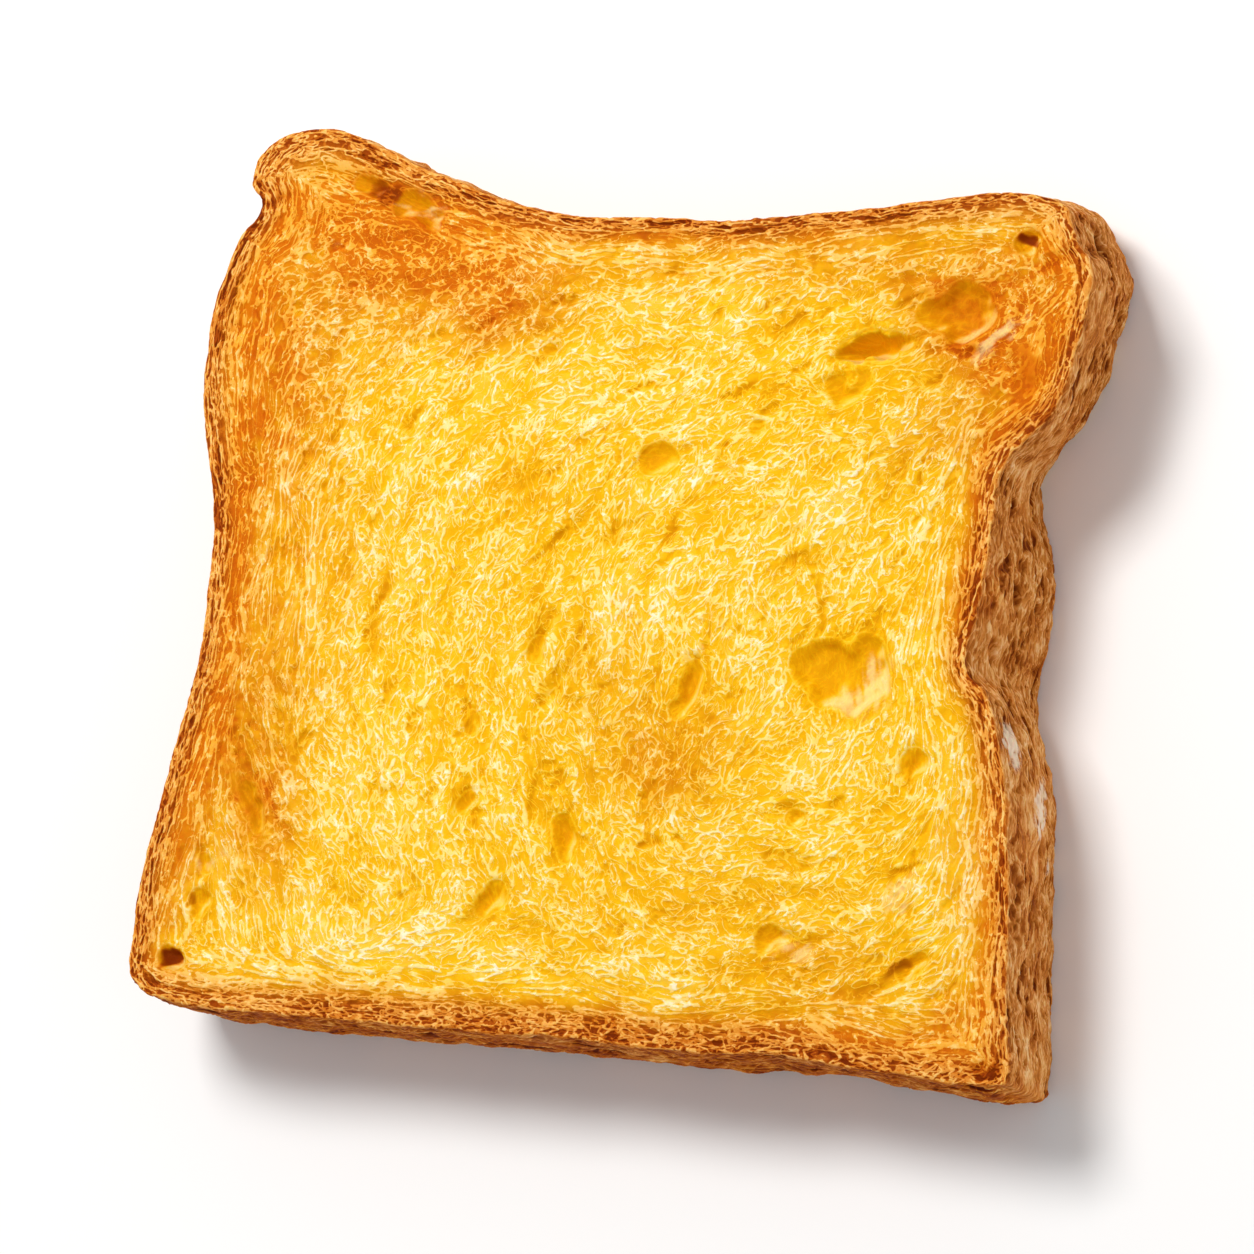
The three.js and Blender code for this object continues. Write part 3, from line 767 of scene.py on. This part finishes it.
lower_rise = np.clip(u_packed, 0, None) + 0.6 * u_bowl * u_size - 0.15 * u_strand
lower_rise = np.clip(lower_rise + 0.06 + 0.05 * under.cloud(132, 2.5), 0, None)
# The lower face is painted darker in its cell bowls, as shade in them
lower_light = np.clip(0.24 + 0.14 * u_wall - 0.25 * u_bowl + 0.08 * under.cloud(139, 4), 0, 1)
lower_toast = np.clip(0.42 + 0.20 * under.cloud(133, 11) + 0.10 * under.cloud(134, 3)
                      + 0.35 * (1 - smooth(u_inset, 1.5, 8)), 0, 1.1)
lower_band = face.look(band, U, V)


# ---- the mesh
class Builder:
    """Corners, faces, map and painted values of one mesh, gathered part by part."""

    def __init__(self):
        self.places, self.paint, self.faces, self.maps = [], [], [], []
        self.size = 0

    def corners(self, places, paint):
        """Adds corners and returns their numbers."""
        names = np.arange(self.size, self.size + len(places))
        self.places.append(places)
        self.paint.append(paint)
        self.size += len(places)
        return names

    def add(self, faces, maps):
        """Faces of three or four corners, with a place on the map for each corner."""
        self.faces.append(faces)
        self.maps.append(maps)


# The map: a square with both cut faces and two strips of crust, in its own units
map_side = 258.0
upper_corner, upper_scale = (1.0, 1.0), 1.22
lower_corner, lower_scale = (160.0, 1.0), 0.75
strip_corner, strip_pitch = (1.0, 157.0), 33.0
strip_scale = (map_side - 2 * strip_corner[0]) / walked[count // 2]     # within the map
map_margin = 1.6         # around the cut faces, in millimetres


def face_map(places, corner, scale):
    return (np.array(corner) + scale * (places - low[:2] + map_margin)) / map_side


def strip_map(walk, climb, strip):
    """The map of a closed row of the crust, in a strip of half the slice's way round."""
    x = np.append(walk, perimeter) - strip * perimeter / 2
    y = np.append(climb, climb[0])
    shift = np.array([0, strip * strip_pitch])
    return (strip_corner + shift + strip_scale * np.stack([x, y], -1)) / map_side


def grid_places(border, across, up):
    """Places stretched between the four sides of a closed border of corners."""
    u = np.linspace(0, 1, across + 1)[None, :, None]
    v = np.linspace(0, 1, up + 1)[:, None, None]
    bottom = border[:across + 1][None]
    right = border[across:across + up + 1][:, None]
    crown = border[across + up:2 * across + up + 1][::-1][None]
    left = np.vstack([border[2 * across + up:], border[:1]])[::-1][:, None]
    ends = mix(mix(bottom[:, :1], bottom[:, -1:], u), mix(crown[:, :1], crown[:, -1:], u), v)
    return mix(bottom, crown, v) + mix(left, right, u) - ends


def grid_names(border, across, up, inner):
    """Corner numbers of such a grid, its border's and the inner ones."""
    names = np.zeros((up + 1, across + 1), int)
    names[1:-1, 1:-1] = inner.reshape(up - 1, across - 1)
    names[0] = border[:across + 1]
    names[:, -1] = border[across:across + up + 1]
    names[-1] = border[across + up:2 * across + up + 1][::-1]
    names[:, 0] = np.append(border[2 * across + up:], border[0])[::-1]
    return names


# What is painted at each corner: the PAINTS, then three vectors. The last vector is a place in a
# drawn-in ring, in which the way round the slice counts for less than the way across the crust:
# grain drawn there lies along the crust.
grain_stretch = 2.4
girth = perimeter / (2 * pi) / grain_stretch
upper_fields = (crumb_light, golden, toasting, band, 0, 0, sleek, torn_and_highlit,
                string_a, string_b, string_c, np.cos(2 * curly), np.sin(2 * curly), slots)
lower_fields = (lower_light, 0.5, lower_toast, lower_band, 0, 0, 0, 0,
                u_string_a, u_string_b, u_string_c, np.cos(2 * u_flow), np.sin(2 * u_flow), 0)
side_fields = (side_light, caramel_and_shade, 1, 1, 1, flour, s_sleek, 0,
               s_string_a, s_string_b, s_string_c, 1, 0, s_slots)


def painted(chart, fields, x, y, ring_place):
    looked = [chart.look(f, x, y) if np.ndim(f) else f + 0 * x for f in fields]
    return np.stack(looked + ring_place, 1)


def upper_paint(places):
    x, y = places.T
    c, s, depth = [face.look(f, x, y) for f in (*way_round, inset)]
    return painted(face, upper_fields, x, y, [girth * c, girth * s, thickness + depth])


def lower_paint(places):
    x, y = places.T
    c, s, depth = [face.look(f, x, y) for f in (*way_round, inset)]
    return painted(under, lower_fields, x, y, [girth * c, girth * s, -depth])


def side_paint(walk, climb):
    turn = 2 * pi * walk / perimeter
    ring_place = [girth * np.cos(turn), girth * np.sin(turn), climb]
    return painted(side, side_fields, walk, climb, ring_place)


built = Builder()


def add_quads(grids, order=(0, 1, 2, 3)):
    """The cells of a grid of corners, from its numbers and its map."""
    quads = []
    for grid in grids:
        corners = [grid[:-1, :-1], grid[:-1, 1:], grid[1:, 1:], grid[1:, :-1]]
        quads.append(np.stack([corners[k].reshape(-1, grid.shape[2]) for k in order], 1))
    built.add(quads[0][..., 0], quads[1])


def add_face(border, rim_names, cells, chart, height, paint, maps, order):
    """A cut face, with cells across and up, inside a border that has its corners already."""
    flat = grid_places(border, *cells)
    inner = flat[1:-1, 1:-1].reshape(-1, 2)
    corners = np.column_stack([inner, chart.look(height, *inner.T)])
    names = grid_names(rim_names, *cells, built.corners(corners, paint(inner)))
    add_quads((names[..., None], face_map(flat, *maps)), order)


# The upper rounded edge, from the wall up to the face
lift_limits = -0.8, 0.6       # of the face's relief where it runs over the edge
edge_rows, edge_maps = [], []
for turn in np.linspace(0, pi / 2, edge_bands + 1):
    rise = edge_height - upper_edge * (1 - sin(turn))
    place = rim + upper_edge * cos(turn) * rim_outward
    share_up = sin(turn) ** 2
    low_lift = side.look(side_relief, walked[:-1], rise)
    high_lift = face.look(top, *place.T) - probe_chart.look(face_height, *place.T)
    lift = mix(low_lift, np.clip(high_lift, *lift_limits), share_up)
    paint = mix(side_paint(walked[:-1], rise), upper_paint(place), smooth(share_up, 0, 0.6))
    place = place + (lift * cos(turn))[:, None] * rim_outward
    corners = np.column_stack([place, rise + lift * sin(turn)])
    edge_rows.append(built.corners(corners, paint))
    unrolled = rim + upper_edge * (pi / 2 - turn) * rim_outward
    edge_maps.append(face_map(unrolled, upper_corner, upper_scale))
closed = [np.stack([np.append(row, row[:1], 0) for row in rows]) for rows in (edge_rows, edge_maps)]
add_quads((closed[0][..., None], closed[1]))

cells = across_cells, up_cells
add_face(rim, edge_rows[-1], cells, face, top, upper_paint, (upper_corner, upper_scale),
         (0, 1, 2, 3))

# The wall, from just under the upper edge down, with half as many stations
wall_drop = 0.30              # from the upper edge to the first of these rows
half = slice(None, None, 2)
sparse_walk = walked[:-1][half]
sparse_outward = outward[half]
top_of_wall = (edge_height - upper_edge)[half] - wall_drop
rows = []
for share_down in np.linspace(0, 1, wall_bands + 1):
    height = mix(top_of_wall, np.full(count // 2, lower_edge), share_down)
    lift = side.look(side_relief, sparse_walk, height)
    place = crust_at(height, half) + lift[:, None] * sparse_outward
    names = built.corners(np.column_stack([place, height]), side_paint(sparse_walk, height))
    rows.append((names, height))

# The lower rounded edge
foot_rim = crust_at(np.full(count // 2, lower_edge), half)
for turn in np.linspace(0, pi / 2, edge_bands + 1)[1:]:
    place = foot_rim - lower_edge * (1 - cos(turn)) * sparse_outward
    height = np.full(count // 2, lower_edge * (1 - sin(turn)))
    lift = side.look(side_relief, sparse_walk, height) * cos(turn)
    rise = under.look(lower_rise, *place.T) * sin(turn)
    paint = mix(side_paint(sparse_walk, height), lower_paint(place), smooth(sin(turn), 0.4, 1))
    place = place + lift[:, None] * sparse_outward
    names = built.corners(np.column_stack([place, height + rise]), paint)
    rows.append((names, np.full(count // 2, lower_edge * (1 - turn))))


def join(upper, lower, walk, high, low):
    """The faces between two rows of the crust. The lower has as many stations as the upper, or
    half as many."""
    step = len(upper) // len(lower)
    half_way = len(lower) // 2
    for strip in (0, 1):
        k = np.arange(half_way) + strip * half_way
        upper_map = strip_map(walk, high, strip)
        lower_map = strip_map(walk[::step], low, strip)
        a = [(np.roll(upper, -n)[step * k], upper_map[step * k + n]) for n in range(step + 1)]
        b = [(np.roll(lower, -n)[k], lower_map[k + n]) for n in (0, 1)]
        shapes = [[b[0], b[1], a[1], a[0]]]
        if step == 2:
            shapes = [[a[0], b[0], a[1]], [a[1], b[0], b[1]], [a[1], b[1], a[2]]]
        for shape in shapes:
            names, maps = zip(*shape)
            built.add(np.stack(names, 1), np.stack(maps, 1))


join(edge_rows[0], rows[0][0], walked[:-1], edge_height - upper_edge, rows[0][1])
for (upper, high_climb), (lower, low_climb) in zip(rows, rows[1:]):
    join(upper, lower, sparse_walk, high_climb, low_climb)

add_face(foot_rim - lower_edge * sparse_outward, rows[-1][0], (across_cells // 2, up_cells // 2),
         under, lower_rise, lower_paint, (lower_corner, lower_scale), (0, 3, 2, 1))

PAINTS = ("light", "golden", "toasting", "rim", "skin", "flour", "sleek", "torn_and_highlit")
VECTORS = (("strings", 1), ("way", 1), ("ringed", MM))


def make_mesh(name, gathered):
    """The gathered parts as one mesh."""
    mesh = bpy.data.meshes.new(name)
    places = np.vstack(gathered.places) * MM
    sizes = np.concatenate([np.full(len(f), f.shape[1]) for f in gathered.faces])
    corners = np.concatenate([f.ravel() for f in gathered.faces])
    maps = np.concatenate([m.reshape(-1, 2) for m in gathered.maps])
    mesh.vertices.add(len(places))
    mesh.vertices.foreach_set("co", places.ravel())
    mesh.loops.add(len(corners))
    mesh.loops.foreach_set("vertex_index", corners.astype(np.int32))
    mesh.polygons.add(len(sizes))
    starts = np.append(0, np.cumsum(sizes)[:-1])
    mesh.polygons.foreach_set("loop_start", starts.astype(np.int32))
    mesh.update(calc_edges=True)
    mesh.polygons.foreach_set("use_smooth", np.ones(len(sizes), bool))
    layer = mesh.uv_layers.new(name="OFBake")
    layer.uv.foreach_set("vector", maps.ravel())
    paint = np.vstack(gathered.paint)
    for k, title in enumerate(PAINTS):
        values = mesh.attributes.new(title, "FLOAT", "POINT")
        values.data.foreach_set("value", paint[:, k].astype(np.float32))
    for k, (title, unit) in enumerate(VECTORS):
        first = len(PAINTS) + 3 * k
        values = mesh.attributes.new(title, "FLOAT_VECTOR", "POINT")
        vectors = paint[:, first:first + 3] * unit
        values.data.foreach_set("vector", vectors.astype(np.float32).ravel())
    mesh.validate()
    return mesh


# ---- the material
def linear(red, green, blue):
    """A colour as screens name it, 0 to 255, as light."""
    out = []
    for value in (red, green, blue):
        value /= 255
        out.append(value / 12.92 if value <= 0.04045 else ((value + 0.055) / 1.055) ** 2.4)
    return (*out, 1.0)


class Wiring:
    """A material's nodes, made and joined."""

    def __init__(self, name):
        self.material = bpy.data.materials.new(name)
        self.material.use_nodes = True
        self.nodes = self.material.node_tree.nodes
        self.shader = self.nodes["Principled BSDF"]

    def plug(self, value, socket):
        if isinstance(value, bpy.types.NodeSocket):
            self.material.node_tree.links.new(value, socket)
        else:
            socket.default_value = value

    def dress(self, looks):
        """Sets or joins inputs of the shader."""
        for key, value in looks.items():
            self.plug(value, self.shader.inputs[key])

    def node(self, kind, inputs, output=0, **settings):
        """One output of a new node with these inputs and settings."""
        node = self.nodes.new("ShaderNode" + kind)
        for key, value in settings.items():
            setattr(node, key, value)
        for key, value in inputs.items():
            self.plug(value, node.inputs[key])
        return node.outputs[output]

    def paint(self, title, output="Fac"):
        return self.node("Attribute", {}, output, attribute_name=title)

    def place(self):
        return self.node("TexCoord", {}, "Object")

    def ramp(self, value, stops):
        colour = self.node("ValToRGB", {"Fac": value}, "Color")
        points = colour.node.color_ramp.elements
        while len(points) < len(stops):
            points.new(0.5)
        for point, (at, shade) in zip(points, stops):
            point.position = at
            point.color = linear(*shade)
        return colour

    def sum(self, kind, a, b=0.0, c=0.0):
        return self.node("Math", {0: a, 1: b, 2: c}, operation=kind)

    def range(self, value, start, end, low_out=0.0, high_out=1.0, kind="SMOOTHSTEP"):
        inputs = {"Value": value, "From Min": start, "From Max": end,
                  "To Min": low_out, "To Max": high_out}
        return self.node("MapRange", inputs, interpolation_type=kind)

    def mix(self, share, a, b):
        """A colour between a and b."""
        return self.node("Mix", {0: share, 6: a, 7: b}, 2, data_type="RGBA")

    def share(self, value, a, b):
        """A number between a and b."""
        return self.node("Mix", {0: value, 2: a, 3: b})

    def noise(self, scale, detail, roughness=0.5, distortion=0.0, place=None):
        inputs = {"Vector": place or self.place(), "Scale": scale, "Detail": detail,
                  "Roughness": roughness, "Distortion": distortion}
        return self.node("TexNoise", inputs, "Fac")

    def parts(self, vector):
        return self.node("SeparateXYZ", {0: vector}).node.outputs[:3]

    def isolines(self, field, middle, inner, outer):
        """Thin lines where a noise crosses its middle value."""
        away = self.sum("ABSOLUTE", self.sum("SUBTRACT", field, middle))
        return self.range(away, inner, outer, 1.0, 0.0)

    def lying(self, angle, scale, stretch):
        """Noise whose bumps are drawn out at an angle."""
        inputs = {"Vector": self.place(), "Angle": self.sum("MULTIPLY", angle, -1.0)}
        turned = self.node("VectorRotate", inputs, rotation_type="Z_AXIS")
        inputs = {0: turned, 1: (1 / stretch, 1, 1)}
        squeezed = self.node("VectorMath", inputs, operation="MULTIPLY")
        return self.noise(scale, 0, 0.5, 0.5, squeezed)

    def combed(self, way, scale, stretch, angles=12):
        """Noise drawn out along the painted way: a blend of the nearest two of fixed angles."""
        c, s, _ = self.parts(way)
        angle = self.sum("MULTIPLY", self.sum("ARCTAN2", s, c), 0.5)
        place = self.sum("MULTIPLY", self.sum("FLOORED_MODULO", angle, pi), angles / pi)
        first = self.sum("FLOOR", place)
        second = self.sum("FLOORED_MODULO", self.sum("ADD", first, 1.0), angles)
        ends = [self.sum("MULTIPLY", k, pi / angles) for k in (first, second)]
        ends = [self.lying(end, scale, stretch) for end in ends]
        return self.share(self.sum("FRACT", place), *ends)


def toast_material():
    m = Wiring("toasted_crumb_and_crust")
    light, golden_share, toast = m.paint("light"), m.paint("golden"), m.paint("toasting")
    rim_share, skin, dust = m.paint("rim"), m.paint("skin"), m.paint("flour")
    grain = m.noise(3400, 2, 0.6)
    crusty = m.sum("MAXIMUM", rim_share, skin)
    way = m.paint("way", "Vector")
    threads = m.isolines(m.combed(way, 1250, 3.0), 0.5, 0.02, 0.09)
    patchy = m.range(m.noise(520, 1), 0.42, 0.60)
    thread = m.sum("MULTIPLY", threads, patchy)
    ridge = m.isolines(m.noise(1100, 1, 0.5, 0.4, m.paint("ringed", "Vector")), 0.5, 0.015, 0.085)
    wobble = m.sum("MULTIPLY_ADD", grain, 0.5, -0.25)
    first, second, third = m.parts(m.paint("strings", "Vector"))
    first = m.isolines(m.sum("ADD", first, wobble), 0.0, 0.24, 0.54)
    second = m.isolines(m.sum("SUBTRACT", second, wobble), 0.0, 0.24, 0.54)
    third = m.isolines(m.sum("ADD", third, wobble), 0.0, 0.15, 0.70)
    strand = m.sum("MAXIMUM", first, m.sum("MULTIPLY", second, 0.85))
    strand = m.sum("MAXIMUM", strand, m.sum("MULTIPLY", third, 0.8))
    # Between the strands of the crust lie long gaps, painted dark as shade in them
    slot = m.sum("ADD", m.parts(way)[2], m.sum("MULTIPLY", wobble, 0.6))
    slot = m.sum("MULTIPLY", m.range(slot, 0.25, 0.60), crusty)
    # Tiny pale specks: painted glints
    speck = m.range(m.noise(1500, 1), 0.67, 0.73)
    # Strands and fine grain vary how light a place is, with threads in the crumb, but ridges that
    # lie along the crust in the rim and the skin. The smooth insides of pores have none.
    loose = m.sum("MULTIPLY_ADD", strand, 0.46, m.sum("MULTIPLY_ADD", thread, 0.26, -0.02))
    loose = m.sum("ADD", loose, m.sum("MULTIPLY", speck, 0.35))
    firm = m.sum("MULTIPLY_ADD", strand, m.share(skin, 0.50, 0.22),
                 m.sum("MULTIPLY_ADD", ridge, 0.26, -0.09))
    firm = m.sum("MULTIPLY_ADD", slot, m.share(skin, -0.22, -0.38), firm)
    fine = m.share(crusty, loose, firm)
    fine = m.sum("ADD", fine, m.sum("MULTIPLY_ADD", grain, 0.26, -0.13))
    uneven = m.sum("SUBTRACT", 1.0, m.sum("MULTIPLY", m.paint("sleek"), 0.8))
    fine = m.sum("MULTIPLY", fine, uneven)
    tone = m.sum("ADD", light, fine)
    crumb = m.ramp(tone, [(0.0, (228, 160, 0)), (0.24, (246, 192, 18)), (0.5, (249, 208, 78)),
                          (0.75, (251, 227, 152)), (1.0, (253, 240, 210))])
    deep = m.ramp(tone, [(0.0, (220, 148, 0)), (0.24, (241, 178, 2)), (0.5, (246, 197, 38)),
                         (0.75, (250, 217, 112)), (1.0, (252, 234, 180))])
    body = m.mix(golden_share, crumb, deep)
    browned = m.ramp(tone, [(0.0, (184, 80, 0)), (0.25, (210, 106, 4)), (0.5, (226, 133, 14)),
                            (0.75, (241, 173, 56)), (1.0, (248, 206, 120))])
    toast_grain = m.sum("MULTIPLY_ADD", grain, 0.3, -0.15)
    toast = m.sum("ADD", toast, toast_grain)
    body = m.mix(m.range(toast, 0.0, 1.0, kind="LINEAR"), body, browned)
    # Paler cream of torn pore walls, partly a painted highlight on the sides of pores that face the
    # light
    torn_and_highlit = m.range(m.sum("ADD", m.paint("torn_and_highlit"), m.sum("MULTIPLY", wobble, 0.8)), 0.2, 1.0)
    body = m.mix(m.sum("MULTIPLY", torn_and_highlit, 0.66), body, linear(250, 221, 150))
    rim_colour = m.ramp(tone, [(0.0, (118, 40, 0)), (0.25, (164, 70, 6)), (0.5, (206, 115, 26)),
                               (0.75, (235, 165, 72)), (1.0, (248, 202, 120))])
    body = m.mix(rim_share, body, rim_colour)
    tan = m.ramp(tone, [(0.0, (112, 44, 0)), (0.25, (164, 87, 20)), (0.5, (205, 127, 52)),
                        (0.75, (230, 167, 98)), (1.0, (244, 200, 146))])
    caramel = m.ramp(tone, [(0.0, (92, 24, 0)), (0.25, (136, 52, 0)), (0.5, (178, 84, 6)),
                            (0.75, (216, 126, 34)), (1.0, (242, 176, 86))])
    # On the crust the golden share picks caramel, which is darker where it is painted in shade on
    # the foot side
    crust = m.mix(golden_share, tan, caramel)
    body = m.mix(skin, body, crust)
    powder = m.sum("MULTIPLY_ADD", grain, 0.9, m.sum("MULTIPLY_ADD", strand, 0.25, -0.55))
    dust = m.sum("MULTIPLY", dust, m.range(m.sum("ADD", dust, powder), 0.25, 0.75))
    body = m.mix(dust, body, linear(242, 218, 190))
    lines = m.sum("MULTIPLY_ADD", m.share(crusty, thread, ridge), 0.5, strand)
    lines = m.sum("MULTIPLY_ADD", slot, -1.0, lines)
    height = m.sum("MULTIPLY_ADD", m.sum("MULTIPLY", lines, uneven), 1.0, grain)
    bump = {"Strength": 0.5, "Distance": 0.00012, "Height": height}
    m.dress({
        "Base Color": body,
        "Roughness": m.sum("MULTIPLY_ADD", grain, 0.25, 0.55),
        "Normal": m.node("Bump", bump, "Normal"),
        "Subsurface Weight": 0.35,
        "Subsurface Radius": (1.0, 0.45, 0.12),
        "Subsurface Scale": 0.0008,
        "Specular IOR Level": 0.04,
    })
    return m.material


piece = bpy.data.objects.new("toasted_slice", make_mesh("toasted_slice", built))
piece.data.materials.append(toast_material())
bpy.context.scene.collection.objects.link(piece)
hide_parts(SLICE)
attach(piece, "root")

# ---- camera, light and floor
tilt, swing, spin = radians(25), radians(-18.5), radians(24)
target = Vector((-0.6, -3.8, 12)) * MM
camera_distance = 0.65
view_scale = 7.55                     # picture places to a millimetre, at the target
picture_width, sensor = 1254, 36.0

back = Vector((sin(tilt) * cos(swing), sin(tilt) * sin(swing), cos(tilt)))
upright = (Vector((0, 0, 1)) - back * back.z).normalized()
sideways = back.cross(upright)
angle = atan2(sin(spin), -cos(spin))
right = cos(angle) * upright - sin(angle) * sideways
up = sin(angle) * upright + cos(angle) * sideways

lens = view_scale * camera_distance / MM / picture_width * sensor
camera_data = bpy.data.cameras.new("camera")
camera_data.lens = lens
camera_data.sensor_width = sensor
camera_data.clip_start, camera_data.clip_end = 0.05, 10
camera = bpy.data.objects.new("camera", camera_data)
turned = Matrix((right, up, back)).transposed().to_4x4()
camera.matrix_world = Matrix.Translation(target + back * camera_distance) @ turned
bpy.context.scene.collection.objects.link(camera)
bpy.context.scene.camera = camera


def lamp(name, direction, distance, size, power, colour=(1, 1, 1)):
    """A square soft lamp that looks at the target."""
    data = bpy.data.lights.new(name, "AREA")
    data.shape = "SQUARE"
    data.size = size
    data.energy = power
    data.color = colour
    made = bpy.data.objects.new(name, data)
    direction = direction.normalized()
    made.location = target + direction * distance
    made.rotation_euler = direction.to_track_quat("Z", "Y").to_euler()
    bpy.context.scene.collection.objects.link(made)


lamp("key", 1.1 * back - 0.75 * right + 0.75 * up, 0.8, 0.25, 4.9, (1.0, 0.99, 0.97))
lamp("fill", 0.8 * back + 0.9 * right + 0.1 * up, 1.0, 0.9, 1.6)

world = bpy.data.worlds.new("world")
world.use_nodes = True
background = world.node_tree.nodes["Background"]
background.inputs["Color"].default_value = (1, 1, 1, 1)
background.inputs["Strength"].default_value = 0.45
bpy.context.scene.world = world
bpy.context.scene.view_settings.view_transform = "Standard"
bpy.context.scene.view_settings.look = "None"


def pale_floor():
    wide = 3.0
    mesh = bpy.data.meshes.new("floor")
    places = [(-wide, -wide, 0), (wide, -wide, 0), (wide, wide, 0), (-wide, wide, 0)]
    mesh.from_pydata(places, [], [(0, 1, 2, 3)])
    m = Wiring("pale_floor")
    m.dress({"Base Color": (0.93, 0.93, 0.93, 1), "Roughness": 0.9})
    mesh.materials.append(m.material)
    floor = bpy.data.objects.new("floor", mesh)
    floor.location.z = -0.0002
    bpy.context.scene.collection.objects.link(floor)
    return floor


pale_floor()

bpy.context.view_layer.update()
